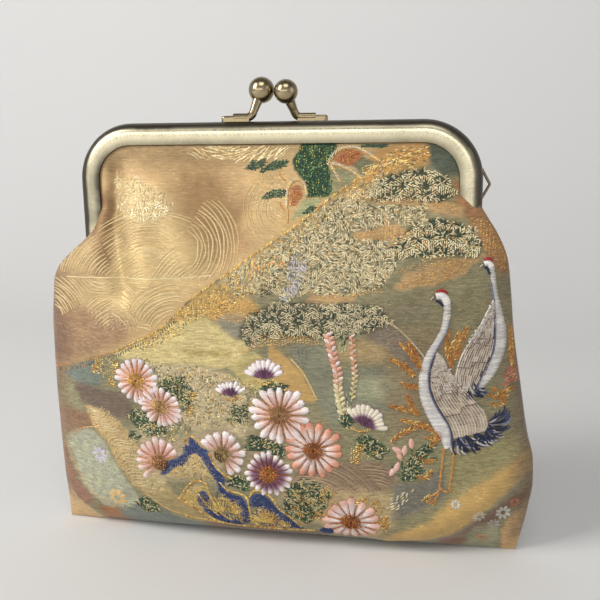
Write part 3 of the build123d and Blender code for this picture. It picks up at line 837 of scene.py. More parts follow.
# Each wash: colour, gilt share, softness in millimetres, strength, and its outline on the front.
DESIGN_GROUND = [
    (GOLD_TAN, 0.42, 0.5, 1.0, BORDER + [(40, 115), (-72, 115), (-72, 45)]),
    (GOLD_PINK, 0.36, 9, 0.7, [(-47, 92), (-30, 95), (-20, 86), (-9, 90), (2, 104), (-47, 108)]),
    (GOLD_LIGHT, 0.5, 8, 0.85,
     [(-52, 80), (-40, 85), (-24, 86), (-15, 78), (-17, 70), (-27, 62), (-45, 61), (-55, 70)]),
    (GOLD_BROWN, 0.3, 5, 0.9,
     [(-66, 70), (-57, 69.5), (-50, 63), (-42, 62.5), (-34, 60), (-37, 55), (-45, 51), (-53, 48),
      (-66, 44)]),
    # painted shade in the broad hollow of the fold under the middle of the crown
    (PAINTED_HOLLOW_SHADE, 0.4, 9, 0.9, [(-22, 96), (-14, 97), (-5, 89), (-5, 79), (-12, 75), (-17, 80), (-22, 88)]),
    (srgb(176, 148, 106), 0.4, 6, 0.65, [(-45, 91), (-30, 90), (-28, 80), (-45, 78)]),
    (srgb(176, 146, 108), 0.35, 6, 0.65, [(-58, 78), (-46, 82), (-43, 68), (-58, 62)]),
    # painted shade in the deep fold left of the cloud
    (srgb(140, 110, 76), 0.4, 3.4, 0.9,
     [(-47, 90), (-42, 92.5), (-40.6, 86), (-41, 78), (-42, 71), (-45, 71), (-47, 80)]),
    (srgb(208, 176, 122), 0.42, 6, 0.7, [(-6, 84), (-4, 97), (4, 97), (7, 86), (3, 82)]),
    # reddish brown by the left edge, darkened further as painted shade
    (srgb(136, 104, 82), 0.25, 6, 0.75, [(-66, 72), (-58, 68), (-55, 50), (-66, 45)]),
    (srgb(216, 194, 146), 0.4, 4, 0.8,
     [(-40.5, 94.6), (-33.5, 95), (-26, 91), (-23.5, 88), (-27, 85), (-36, 84.3), (-40, 88)]),
    (srgb(198, 160, 98), 0.45, 1.5, 0.75,
     [(-38, 52.6), (-29, 57.6), (-20, 65.6), (-10, 72.7), (0, 79.7), (10, 86.9), (20, 94.5), (31, 99.8),
      (38, 102.5), (37, 97), (26, 93.5), (18, 89), (10, 82), (0, 74), (-8, 68), (-16, 62), (-26, 55)]),
    (srgb(178, 166, 134), 0.25, 2.5, 0.8,
     [(-13, 70.4), (-6, 75.3), (2, 80), (7, 80), (5, 72), (0, 67.5), (-8, 68)]),
    (srgb(204, 158, 98), 0.45, 1.5, 0.9,
     [(24, 93.5), (22, 97), (26, 102), (37, 104), (38, 98.5), (30, 97)]),
    # painted shade in the corner under the frame
    (DARK_SAGE_AND_SHADE, 0.1, 2.0, 0.95, [(37.5, 103), (44.5, 103), (46, 96), (41.5, 95.5), (38, 98)]),
    # russet beside the right arm, its colour darkened with painted shade
    (RUSSET_WITH_PAINTED_SHADE, 0.35, 2.0, 0.9,
     [(43.5, 95), (47, 92), (52, 87), (58, 80), (60, 72), (54.5, 73), (50.5, 78), (48, 84), (44.5, 88)]),
    (ORANGE_GOLD, 0.4, 1.4, 0.9,
     [(18, 89.5), (25, 91.2), (40, 90.6), (46, 88.5), (45, 85.5), (36, 88.2), (24, 88.8)]),
    (ORANGE_GOLD, 0.4, 1.2, 0.9, [(20, 82.5), (30, 85), (36, 82.2), (30, 79.6), (20, 79.8)]),
    (ORANGE_GOLD, 0.3, 0.9, 0.95, [(30, 69.3), (32.5, 73), (40, 76), (51, 77.5), (46.6, 73), (39, 70.2)]),
    (ORANGE_GOLD, 0.3, 0.9, 0.9, [(9.5, 66), (10.5, 68.6), (22, 69), (21.5, 66)]),
    (srgb(206, 166, 100), 0.42, 2.0, 0.9, [(-16, 61.5), (-13, 66.5), (-4, 67.3), (-1, 64), (-7, 60.5)]),
    (srgb(150, 144, 128), 0.1, 2.0, 0.8, [(-12, 62.5), (-6, 63.5), (-5, 57), (-9, 56.5), (-13, 60)]),
    (OLIVE, 0.32, 1.6, 0.95,
     [(-41, 51.6), (-36, 53.8), (-29, 56.8), (-24, 60.3), (-18, 62), (-12, 60.5), (-8, 56.5), (-3, 56.5),
      (-8, 49.5), (-20, 49.2), (-30, 49.6), (-38, 50)]),
    (srgb(176, 158, 98), 0.3, 1.2, 0.7, [(-25, 53.2), (-19, 53.8), (-9, 54), (-9, 52.4), (-18, 52.4)]),
    (OLIVE_GREY, 0.16, 1.8, 0.95,
     [(-29, 49), (-20, 50), (-9, 48), (-4, 44), (-5, 36), (-3, 30), (-12, 33.5), (-19, 32), (-24, 36),
      (-21, 42), (-27, 46)]),
    (srgb(206, 188, 124), 0.3, 1.5, 0.85, [(-9, 50), (-4, 54), (0, 52), (5, 46), (0, 43), (-7, 45.5)]),
    (srgb(200, 164, 104), 0.4, 0.6, 1.0,
     [(1, 56), (5.4, 52.6), (9, 48.4), (12.2, 42.2), (8, 41.5), (4, 44.5), (0, 50)]),
    (srgb(137, 136, 114), 0.1, 1.2, 0.9,
     [(5.5, 55.5), (15, 56.5), (16, 50), (30, 51), (30, 40), (16, 35), (12.4, 41.5), (9.4, 49)]),
    (srgb(164, 163, 132), 0.1, 2.2, 0.8, [(20, 47.5), (27, 49), (35, 47), (33, 42.5), (22, 43)]),
    (srgb(184, 156, 110), 0.3, 3, 0.75, [(16, 52.4), (17.5, 57.4), (26, 57.8), (31.5, 55.5), (29, 52)]),
    (SAGE_DARK, 0.12, 2.2, 0.8, [(26, 66.8), (40, 67.4), (38, 61), (33, 60), (28, 63)]),
    (srgb(139, 119, 90), 0.12, 6, 0.6, [(27, 61), (45, 61), (47, 34), (30, 34)]),
    (TAUPE, 0.12, 0.5, 1.0,
     [(22.5, 61.5), (25.5, 62.9), (29.5, 61.6), (33.6, 58.4), (37.7, 53.6), (37, 49.8), (33.5, 51),
      (29, 55.6), (23.5, 58)]),
    (srgb(142, 118, 96), 0.16, 1.5, 0.9,
     [(4, 20.5), (9, 25), (16, 26.5), (27, 26.5), (32, 23), (30, 19), (20, 18), (10, 17.5)]),
    (srgb(124, 121, 112), 0.1, 1.8, 0.8,
     [(31, 20.5), (38, 21.5), (42, 25), (43.5, 18), (38, 14), (31, 10.5), (29, 12.5), (31, 16)]),
    (srgb(164, 149, 115), 0.1, 1.6, 0.8,
     [(-7, 20), (-6, 34), (4, 32), (7, 24), (5, 20), (14, 18), (14, 8), (7, 6), (4, 12)]),
    (srgb(164, 154, 108), 0.25, 3.5, 0.8, [(43, 28), (60, 33), (64, 28), (52, 21), (44, 15)]),
    (srgb(202, 168, 106), 0.42, 2.6, 1.0,
     [(66, 30), (66, 24.5), (59, 19), (52, 12), (45, 5), (37, 1), (26, 1.5), (31, 6), (39, 10.5), (44, 16),
      (52, 21.6), (60, 27)]),
    (srgb(128, 98, 78), 0.15, 2.2, 0.85,
     [(66, 21), (61, 17), (55, 13.5), (50, 9), (46, 5), (49, 4), (56, 9), (61, 14), (66, 15)]),
    (srgb(158, 154, 124), 0.1, 1.2, 0.9, [(49, 3), (51, 8), (56.5, 9), (57, 3), (56, -5), (48, -5)]),
    (srgb(152, 116, 96), 0.15, 1.2, 0.8, [(40, -6), (43, 3.5), (46.5, 5), (49, 1), (47.5, -6)]),
    (TAN, 0.35, 1.0, 1.0, [(57.3, -6), (57.6, 7), (60, 11.5), (66, 13.5), (66, -6)]),
    (TEAL, 0.12, 0.9, 1.0,
     [(-60, 24), (-56.5, 27.4), (-51, 29.6), (-47.5, 29), (-44.5, 25.5), (-42, 20.5), (-39, 15.5),
      (-36, 10.5), (-33, 6.5), (-38, 3), (-46, 4), (-51, 8.5), (-56, 14), (-59.5, 20)]),
    (TEAL_GREY, 0.12, 1.0, 0.95,
     [(-59, 44.6), (-51, 47.6), (-46.5, 49), (-45, 45), (-46, 41.5), (-52, 41.5), (-57.5, 43)]),
    (srgb(120, 103, 88), 0.12, 2.2, 0.95,
     [(-54, 41.8), (-46, 41.2), (-38, 41), (-36, 35.5), (-42, 32.5), (-50, 36), (-54.5, 38)]),
    (srgb(152, 148, 112), 0.2, 1.5, 0.8, [(-60, 40), (-55, 41), (-52.5, 37.5), (-56, 34.5), (-60, 36)]),
    (srgb(152, 119, 91), 0.3, 1.5, 0.95,
     [(-64, 35), (-55, 34.4), (-48, 33.4), (-47, 31), (-55, 28.6), (-64, 25)]),
    (srgb(210, 178, 122), 0.35, 1.2, 0.95,
     [(-51, 36), (-44, 35), (-39, 31), (-35.5, 27), (-33.5, 20), (-31, 15), (-34, 12.5), (-38, 15),
      (-41.5, 21), (-44.5, 27), (-49, 31.6)]),
    (BEIGE_GOLD, 0.35, 2.0, 0.85, [(-39, 25), (-34, 27), (-30, 19), (-27, 15), (-32, 13), (-37, 17)]),
    (srgb(158, 116, 98), 0.25, 1.5, 0.9,
     [(-64, 25), (-60, 21), (-56.5, 13), (-51.5, 8.6), (-53, 4), (-58, 9), (-64, 14)]),
    (srgb(208, 176, 126), 0.35, 1.5, 1.0, [(-64, 14), (-58, 8.6), (-53, 3.6), (-49, -6), (-64, -6)]),
    (srgb(180, 118, 72), 0.3, 1.2, 0.8, [(-50, 5.5), (-45, 5.5), (-38, 1), (-39, -6), (-50, -6)]),
    (srgb(178, 157, 111), 0.32, 0.7, 1.0,
     [(-34, 12.4), (-27.5, 15.6), (-24, 12), (-17, 7), (-13, 3.5), (-22, 3.6), (-30, 8.6)]),
    (TEAL_GREY, 0.12, 1.2, 0.9,
     [(-45, 6), (-38, 9), (-32, 9), (-26, 5.6), (-20, 2.6), (-20, -6), (-42, -6)]),
    (srgb(136, 102, 66), 0.3, 1.0, 0.8, [(-20, 4), (8, 4.5), (14, 3), (14, -6), (-20, -6)]),
    (srgb(192, 172, 138), 0.2, 3, 0.85,
     [(-36, 32), (-30, 29), (-24, 30), (-19, 32), (-12, 33), (-8, 30), (-12, 24), (-14, 19), (-30, 18),
      (-33, 23)]),
    (srgb(208, 182, 134), 0.3, 1.2, 0.9, [(-29, 19), (-24, 23), (-20, 26), (-16.4, 25), (-13.4, 19)]),
    (srgb(212, 184, 122), 0.35, 1.2, 0.9,
     [(-25, 12.6), (-20.6, 17.4), (-17.4, 17.4), (-16, 13), (-12, 7.4), (-16, 6), (-21, 9.6)]),
    (srgb(214, 180, 120), 0.3, 1.2, 0.85,
     [(-16, 14), (-10, 14), (-6, 6), (0, 4.6), (4, 7), (0, 12), (-6, 10)]),
    (srgb(220, 188, 136), 0.25, 2.5, 0.75, [(3, 20), (12, 21.6), (16, 17), (14, 10), (8, 7), (4, 12)]),
    (srgb(204, 178, 132), 0.2, 3, 0.8,
     [(14, 19), (24, 19.6), (31, 18), (31, 9), (26, 2), (14, 2), (12, 9)]),
    (PINE, 0.05, 0.5, 1.0,
     [(8, 104), (16.5, 104), (14.6, 99), (14.6, 91), (9.4, 90.4), (8.6, 95), (5.8, 97.4), (5.5, 99.6)]),
    (srgb(148, 144, 106), 0.15, 0.5, 1.0,
     [(15, 98), (19, 97.4), (22, 95.6), (18, 92.4), (14.6, 90.6), (14.4, 95)]),
    (srgb(124, 124, 92), 0.15, 0.5, 1.0, [(19, 98.4), (22, 100), (25.6, 98.7), (22, 95.8)]),
    (srgb(166, 170, 124), 0.15, 0.8, 0.9, [(5.6, 85.6), (9, 90), (13, 90.5), (9.6, 87)]),
    # painted shade along the left and right sides of the cloth
    (srgb(140, 106, 80), 0.25, 9, 0.6, [(-72, 78), (-56, 78), (-57, 60), (-58, 30), (-58, 6), (-72, 6)]),
    (srgb(114, 92, 72), 0.2, 9, 0.72, [(72, 74), (57, 74), (58, 50), (61, 30), (61, 4), (72, 4)]),
    (srgb(172, 152, 112), 0.25, 1.2, 0.9, FOLIAGE["slope"]),
    (FOLIAGE_DARK, 0.05, 1.0, 0.9, FOLIAGE["crest"]),
    (FOLIAGE_MID, 0.12, 1.2, 0.9, FOLIAGE["bank"]),
    (FOLIAGE_MID, 0.12, 1.2, 0.9, FOLIAGE["hill"]),
    (FOLIAGE_DARK, 0.05, 1.0, 0.9, FOLIAGE["knoll"]),
    (FOLIAGE_DARK, 0.05, 0.9, 0.9, FOLIAGE["hedge"]),
    (FOLIAGE_DARK, 0.05, 0.9, 0.8, FOLIAGE["fern"]),
]


def ground(panel, washes, base, turn):
    """Colour and gilt share at each vertex of a panel, from soft-edged washes laid one on another. Some
    washes, and the darkening towards the top, are painted shade.
    """
    across = (panel.viewed[..., 0].ravel() - turn[1]) * turn[0]
    up = panel.viewed[..., 1].ravel() - turn[2]
    near = np.hypot(noise(across, up, 2.2, 31), noise(across, up, 2.2, 32))
    ragged_x = across + 0.5 * noise(across, up, 1.6, 33) + 0.3 * near
    ragged_y = up + 0.3 * noise(across, up, 1.1, 34)
    colour = np.repeat(base[None, :], len(across), 0)
    metal = np.full(len(across), 0.1)
    for tint, gilt, soft, strength, outline in washes:
        cover = strength * smooth(depth_inside(outline, ragged_x, ragged_y), -soft / 2, soft / 2)
        colour = mix(colour, tint, cover[:, None])
        metal = mix(metal, gilt, cover)
    tone = 1 + 0.045 * noise(across, up, 5.0, 35) + 0.03 * noise(across, up, 1.7, 36)
    # painted shade under the crown's lip: the cloth darkens towards its top
    tone -= 0.13 * smooth(panel.viewed[..., 1].ravel(), 95, 103)
    return colour * tone[:, None], metal


# ---------------------------------------------------------------- motifs
CREAM = srgb(226, 216, 172)
CREAM_GREEN = srgb(190, 192, 150)
LEAF = srgb(42, 84, 56)
LEAF_DARK = srgb(30, 58, 42)
LEAF_LIGHT = srgb(110, 138, 88)
GILT = srgb(222, 176, 88)
GILT_LIGHT = srgb(242, 212, 138)
GILT_ORANGE = srgb(204, 148, 84)
RUST = srgb(166, 92, 44)
PEACH = srgb(230, 170, 148)
PINK = srgb(230, 188, 176)
PETAL_WHITE = srgb(250, 241, 239)
LILAC = srgb(220, 210, 232)
PURPLE = srgb(120, 78, 106)
NAVY = srgb(40, 62, 118)
CRANE_WHITE = srgb(245, 241, 236)
CRANE_GREY = srgb(118, 122, 150)
WING = srgb(216, 196, 170)
WING_DARK = srgb(142, 114, 94)
PLUME = srgb(34, 42, 80)
RED = srgb(168, 40, 32)


def pick(rng, palette):
    """A colour of the palette, which gives each with its share."""
    shares = np.array([share for share, _ in palette], float)
    return palette[rng.choice(len(palette), p=shares / shares.sum())][1]


def scatter(rng, outline, pitch, seed):
    """Staggered, slightly uneven places inside an outline with a ragged edge."""
    outline = np.asarray(outline, float)
    low, high = outline.min(0), outline.max(0)
    x, y = np.meshgrid(np.arange(low[0], high[0], pitch[0]), np.arange(low[1], high[1], pitch[1]))
    y = y + (np.arange(x.shape[1]) % 2)[None, :] * pitch[1] / 2
    x = (x + rng.uniform(-0.22, 0.22, x.shape) * pitch[0]).ravel()
    y = (y + rng.uniform(-0.22, 0.22, y.shape) * pitch[1]).ravel()
    keep = depth_inside(outline, x, y) > 0.5 * noise(x, y, 1.6, seed + 50)
    return x[keep], y[keep]


def float_line(x, y, length, heading, bend):
    """A short curved line about a place. Heading and bend are in radians."""
    turns = heading + bend * np.linspace(-0.5, 0.5, 5)
    line = np.stack([np.cumsum(np.cos(turns)), np.cumsum(np.sin(turns))], 1) * length / 5
    return line - line.mean(0) + (x, y)


def stroke(x, y, steps, turn):
    """A straight line through a place, with a point at each step along it."""
    return np.stack([x + steps * math.cos(turn), y + steps * math.sin(turn)], 1)


def spoke(place, reach, bearing):
    """Points at these distances from a place, on a bearing that may bend on the way."""
    return np.array(place) + np.stack([reach * np.cos(bearing), reach * np.sin(bearing)], 1)


SWELL = np.array((0.35, 0.85, 1.0, 0.85, 0.35))  # width of a short float along its length


def grains(threads, outline, palette, lean=90, swirl=55, size=(1.1, 0.38), pitch=(0.62, 0.8), seed=1,
           height=0.16, curl=60, reach=4.0, share=1.0):
    """Short curved floats that fill an outline, all leaning about one way. Share of them are laid."""
    rng = np.random.default_rng(seed)
    for x, y in zip(*scatter(rng, outline, pitch, seed)):
        if rng.uniform() > share:
            continue
        heading = math.radians(lean + swirl * float(noise(x, y, reach, seed)) + rng.uniform(-12, 12))
        line = float_line(x, y, size[0] * rng.uniform(0.75, 1.2), heading,
                          math.radians(curl * rng.uniform(-1, 1)))
        tone = pick(rng, palette) * rng.uniform(0.9, 1.06)
        threads.ribbon(line, size[1] * SWELL * rng.uniform(0.85, 1.1), tone, height)


def fans(threads, outline, tips, cores, clump, size=(0.95, 0.36), pitch=(0.5, 0.58), seed=1,
         height=0.18):
    """Clumps of needles: floats that fan up and out from the foot of each clump, darker at the foot."""
    rng = np.random.default_rng(seed)
    outline = np.asarray(outline, float)
    low, high = outline.min(0) - clump, outline.max(0) + clump / 2
    foot_x, foot_y = np.meshgrid(np.arange(low[0], high[0], clump),
                                 np.arange(low[1], high[1], 0.72 * clump))
    foot_x = (foot_x + (np.arange(foot_x.shape[0]) % 2)[:, None] * clump / 2).ravel()
    foot_x = foot_x + rng.uniform(-0.5, 0.5, foot_x.size) * clump
    foot_y = foot_y.ravel() + rng.uniform(-0.36, 0.36, foot_y.size) * clump
    for x, y in zip(*scatter(rng, outline, pitch, seed)):
        dx, dy = x - foot_x, y - foot_y
        away = np.hypot(dx, dy) + 2.5 * np.maximum(-dy, 0)
        nearest = np.argmin(away)
        share = min(away[nearest] / (0.75 * clump), 1)
        heading = math.atan2(dy[nearest], dx[nearest]) + rng.uniform(-0.45, 0.45)
        line = float_line(x, y, size[0] * rng.uniform(0.8, 1.15), heading, rng.uniform(-0.9, 0.9))
        tone = pick(rng, tips if rng.uniform() < 0.25 + 0.9 * share else cores)
        threads.ribbon(line, size[1] * SWELL * rng.uniform(0.85, 1.1), tone * (0.86 + 0.2 * share), height)


def knots(threads, line, palette, width=0.9, pitch=0.62, seed=2, slant=40, height=0.2, thick=0.46):
    """Small slanting knots along a line."""
    rng = np.random.default_rng(seed)
    line = rounded(line, pitch)
    heading = np.degrees(np.arctan2(*np.gradient(line, axis=0).T[::-1]))
    for (x, y), turn in zip(line, heading):
        turn = math.radians(turn + slant + rng.uniform(-25, 25))
        reach = width / 2 * rng.uniform(0.7, 1.15)
        steps = np.linspace(-reach, reach, 4)
        threads.ribbon(stroke(x, y, steps, turn), thick * np.array((0.5, 1, 1, 0.5)), pick(rng, palette),
                       height)


def fern(threads, line, palette, reach=1.3, seed=2):
    """An ear of grass: short strokes that lean out on both sides of a stem and shorten to its tip."""
    rng = np.random.default_rng(seed)
    line = rounded(line, 0.42)
    heading = np.arctan2(*np.gradient(line, axis=0).T[::-1]) + math.pi
    for index, ((x, y), along) in enumerate(zip(line, heading)):
        swell = 0.55 + 0.6 * math.sin(math.pi * (index + 1) / (len(line) + 1))
        length = reach * swell * rng.uniform(0.8, 1.15)
        for side in (-1, 1):
            turn = along + side * rng.uniform(0.4, 0.8)
            place = (x + 0.45 * length * math.cos(turn), y + 0.45 * length * math.sin(turn))
            threads.ribbon(float_line(*place, length, turn, 0.4 * side), 0.34 * SWELL, pick(rng, palette),
                           0.26)


def ribs(threads, left, right, palette, pitch=0.8, sway=0.5, width=0.42, seed=2):
    """Bowed ribs laid across a band, one after another along it."""
    rng = np.random.default_rng(seed)
    left, right = rounded(left, 0.25), rounded(right, 0.25)
    count = int(len(left) * 0.25 / pitch)
    share = np.linspace(0, 1, 9)
    for reach in np.linspace(0.02, 0.98, count):
        start, end = (edge[int(reach * (len(edge) - 1))] for edge in (left, right))
        across = end - start
        bow = np.outer(np.sin(2 * math.pi * share + 0.7 * math.sin(9 * reach)), (-across[1], across[0]))
        line = start + np.outer(share, across) + 0.14 * sway * bow
        threads.ribbon(line, width * np.sin(np.linspace(0.4, math.pi - 0.4, 9)), pick(rng, palette), 0.2)


def outline_thread(threads, line, colour, width=0.4, height=0.2):
    """One raised thread, such as a stem or an edge."""
    threads.ribbon(rounded(line, 0.45), width, colour, height)


def petal(silk, line, width, edge, tone, height):
    """A petal with a darker woven edge and a crowned middle."""
    swell = np.array((0.38, 0.56, 0.73, 0.88, 1.02, 1.12, 1.1, 0.68))
    silk.ribbon(line, width * swell, edge, height - 0.08, across=3, sink=0.06)
    middle = line[0] + (line - line[0]) * 0.95
    silk.ribbon(middle, 0.82 * width * swell, tone, height + 0.06, across=5, sink=0.02)


HEART_RAYS = 26  # gilt stitches round the heart of a whole flower


def flower(silk, gilt, centre, radius, petals, tip, middle, heart, squash=1.0, turn=0.0, arc=(0, 360),
           inner=None, seed=3):
    """A chrysanthemum: a round of crowned petals, fine stitches from its heart, and a knotted heart."""
    rng = np.random.default_rng(seed)
    centre = np.asarray(centre, float)
    spin = math.radians(turn)
    matrix = np.array([[math.cos(spin), -math.sin(spin)], [math.sin(spin), math.cos(spin)]])
    inner = middle if inner is None else inner

    def ray(angle, start, end, count):
        r = np.linspace(start, end, count)
        flat = np.stack([r * math.cos(angle), squash * r * math.sin(angle)], -1)
        return centre + flat @ matrix.T

    core = 0.32 * radius
    share = (arc[1] - arc[0]) / 360
    wide = 0.98 * 2 * math.pi * radius * 0.8 / petals  # petals just meet at 0.8 of the radius
    steps = smooth(np.linspace(0, 1, 8), 0.35, 0.9)[:, None]
    for index in range(int(petals * share)):
        angle = math.radians(arc[0] + (index + 0.5) * 360 / petals) + rng.uniform(-0.05, 0.05)
        line = ray(angle, core, radius * rng.uniform(0.97, 1.1), 8)
        line += np.outer(np.linspace(0, 1, 8) ** 2, rng.uniform(-0.25, 0.25, 2))
        tone = mix(middle, tip, steps) * rng.uniform(0.95, 1.03)
        petal(silk, line, wide, tone * (0.82, 0.72, 0.7), tone, 0.3 + 0.08 * (index % 2))
        if index % 2:
            silk.ribbon(ray(angle + 0.04, 0.5 * radius, 0.85 * radius, 4), 0.16, mix(PINK, middle, 0.5),
                        0.5)
    for index in range(int(petals * share)):
        angle = math.radians(arc[0] + index * 360 / petals)
        line = ray(angle, core, radius * rng.uniform(0.72, 0.92), 5)
        gilt.ribbon(line, 0.22, mix(heart, middle, 0.4) * (0.92, 0.84, 0.8), 0.38)
    count = int(2.2 * petals)
    for index in range(int(count * share)):
        angle = math.radians(arc[0] + index * 360 / count) + rng.uniform(-0.04, 0.04)
        line = ray(angle, 0.16 * radius, radius * rng.uniform(0.44, 0.62), 5)
        swell = 0.4 * np.array((0.6, 0.9, 1, 0.9, 0.5))
        if index % 3 == 0:
            gilt.ribbon(line, swell, mix(heart, GILT, 0.4), 0.52)
        else:
            silk.ribbon(line, swell, mix(inner, heart, rng.uniform(0, 0.35)) * rng.uniform(0.85, 1.02),
                        0.46)
    for index in range(int(HEART_RAYS * share)):
        angle = math.radians(arc[0] + index * 360 / HEART_RAYS)
        line = ray(angle, 0.06 * radius, core * rng.uniform(1.0, 1.35), 4)
        gilt.ribbon(line, 0.36, mix(heart, GILT_LIGHT, rng.uniform(0, 0.4)), 0.58)
    disc = np.array([ray(angle, 1.02 * core, core, 1)[0] for angle in np.arange(0, 2 * math.pi, 0.4)])
    silk.fill(disc, heart * (0.62, 0.52, 0.45), height=0.6)
    for x, y in zip(*scatter(rng, disc, (0.66, 0.6), seed)):
        gilt.ribbon(float_line(x, y, 0.52, rng.uniform(0, 3), 0), 0.44 * SWELL,
                    mix(heart * 0.9, GILT_LIGHT, rng.uniform(0, 0.9)), 0.76)


def side_flower(silk, gilt, foot, radius, tip, base, lean, spread, count, seed):
    """A chrysanthemum seen from its side: a fan of petals over a dark base."""
    rng = np.random.default_rng(seed)
    foot = np.asarray(foot, float)

    def ray(share, start, end, points):
        angle = math.radians(lean + spread * (share - 0.5))
        r = np.linspace(start, end, points)
        return foot + np.stack([r * math.cos(angle), 0.98 * r * math.sin(angle)], 1)

    for index in range(count):
        line = ray(index / (count - 1), 0.25 * radius, radius * rng.uniform(0.88, 1.05), 8)
        tone = mix(base, tip, smooth(np.linspace(0, 1, 8), 0.25, 0.55)[:, None])
        petal(silk, line, 0.24 * radius, tone * (0.7, 0.62, 0.68), tone, 0.3 + 0.06 * (index % 2))
    for index in range(12):
        line = ray(0.5 + 0.82 * (index / 11 - 0.5), 0.1 * radius, radius * rng.uniform(0.4, 0.6), 4)
        silk.ribbon(line, 0.34, base * rng.uniform(0.8, 1.3), 0.5)
    knots(gilt,
          [foot + (-0.4 * radius, -0.05 * radius), foot + (0, -0.2 * radius), foot + (0.4 * radius, 0)],
          [(1, GILT), (1, GILT_ORANGE)], width=0.8, seed=seed)


# ---------------------------------------------------------------- the front's design
SATIN = BORDER[3:] + [(40, 115), (-72, 115), (-72, 45)]  # the gold satin, above the border
MIRROR = 70.6  # height of the water line, where the waves turn over
WAVES = [  # centre, least and greatest radius, start and end angle of each fan of arcs
    ((-23.0, 78.0), 5.5, 15.5, -58, 62),
    ((-30.5, 71.5), 6.0, 13.5, 52, 128),
    ((-37.5, 66.5), 5.0, 21.0, 118, 172),
    ((-15.5, 64.5), 9.0, 17.5, 118, 165),
    ((-42.5, 64.5), 3.0, 7.5, 20, 84),
    ((-30.0, 62.0), 9.5, 26.0, 30, 160),
]
MIRRORED_WAVES = [
    ((-23.0, 55.5), 5.0, 15.0, 62, 152),
    ((-41.5, 56.0), 5.5, 14.0, 20, 84),
    ((-60.0, 58.0), 4.0, 14.0, 28, 92),
    ((-44.0, 74.5), 4.5, 9.0, 216, 300),
    ((-34.0, 46.0), 12.0, 27.0, 40, 130),
]
WAVE_PITCH = 0.9
WATER = (srgb(206, 178, 124), srgb(228, 204, 152))
FAINT_WATER = (srgb(196, 166, 118), srgb(212, 186, 138))


def waves(threads, fans, low, high, outline, seed=5, tones=WATER, width=0.5):
    """Fans of water arcs in satin, each fan clear of the ones before it."""
    rng = np.random.default_rng(seed)
    taken = []
    for centre, least, most, start, end in fans:
        for radius in np.arange(least, most, WAVE_PITCH):
            count = max(int(math.radians(end - start) * radius / 0.5), 4)
            angle = np.radians(np.linspace(start, end, count))
            bent = radius + 0.14 * np.sin(7 * angle + 2 * radius) + rng.uniform(-0.12, 0.12)
            x, y = centre[0] + bent * np.cos(angle), centre[1] + bent * np.sin(angle)
            free = (y > low) & (y < high) & (depth_inside(outline, x, y) > 0.7)
            for (other, reach, first, last) in taken:
                away = np.hypot(x - other[0], y - other[1])
                bearing = np.degrees(np.arctan2(y - other[1], x - other[0]))
                free &= ~((away < reach) & ((bearing - first) % 360 < last - first))
            for a, b in runs_of(free):
                if b - a < 4:
                    continue
                line = np.stack([x, y], 1)[a:b]
                fade = np.sin(np.linspace(0.25, math.pi - 0.25, b - a)) ** 0.5
                tone = mix(*tones, rng.uniform(0, 1))
                threads.ribbon(line, width * fade, tone, 0.3 * width, across=5)
        taken.append((centre, most, start, end))


def gold_satin(silk, gilt):
    """Water, clouds and mist on the gold satin, and a painted highlight of bright gilt on the cloud."""
    waves(silk, WAVES, MIRROR + 0.4, 90, SATIN)
    waves(silk, MIRRORED_WAVES, 58, MIRROR - 0.6, SATIN, seed=6)
    waves(silk, [((3, 88), 3, 10, 140, 262)], MIRROR + 3, 96, SATIN, 52, FAINT_WATER, 0.34)
    shore = [(-54.5, 70.2), (-46, 70.5), (-38, 70.7), (-28, 71), (-14, 72)]
    outline_thread(silk, shore, srgb(238, 220, 170), 0.34, 0.14)
    crown_wisps = [(-22, 101), (-14, 103.4), (2, 103.4), (5, 101), (0, 99.6), (-12, 99.8), (-18, 99.6)]
    grains(gilt, crown_wisps, [(3, srgb(240, 222, 174)), (3, srgb(224, 198, 146)), (1, GOLD_TAN)], lean=16,
           swirl=50, size=(4.2, 0.42), pitch=(1.8, 0.62), seed=7, curl=50, reach=6)
    cloud = [(-41.5, 95.4), (-34, 95.6), (-27, 92), (-23.6, 88.8), (-26, 85.2), (-35.5, 84), (-40, 88)]
    grains(silk, cloud, [(3, srgb(238, 216, 166)), (3, srgb(214, 186, 134)), (1, srgb(246, 232, 194))],
           lean=20, swirl=190, size=(1.3, 0.44), pitch=(0.82, 0.8), seed=8, curl=110, reach=2.2, height=0.2)
    # painted highlight: bright gilt floats on the lower part of the cloud
    gleam = [(-36, 88.2), (-31, 89), (-26.4, 89.4), (-25, 87), (-29, 85.6), (-36, 85)]
    grains(gilt, gleam, [(3, srgb(252, 240, 202)), (2, srgb(240, 220, 172))], lean=20, swirl=190,
           size=(1.3, 0.44), pitch=(0.7, 0.7), seed=51, curl=110, reach=2.2, height=0.24)
    mist = [(-48, 62), (-38, 63.5), (-30, 60.5), (-36, 57), (-45, 57.5)]
    grains(silk, mist, [(2, srgb(214, 190, 150)), (1, srgb(228, 206, 168))], lean=12, swirl=60,
           size=(1.3, 0.3), pitch=(1.2, 0.8), seed=9, height=0.1)


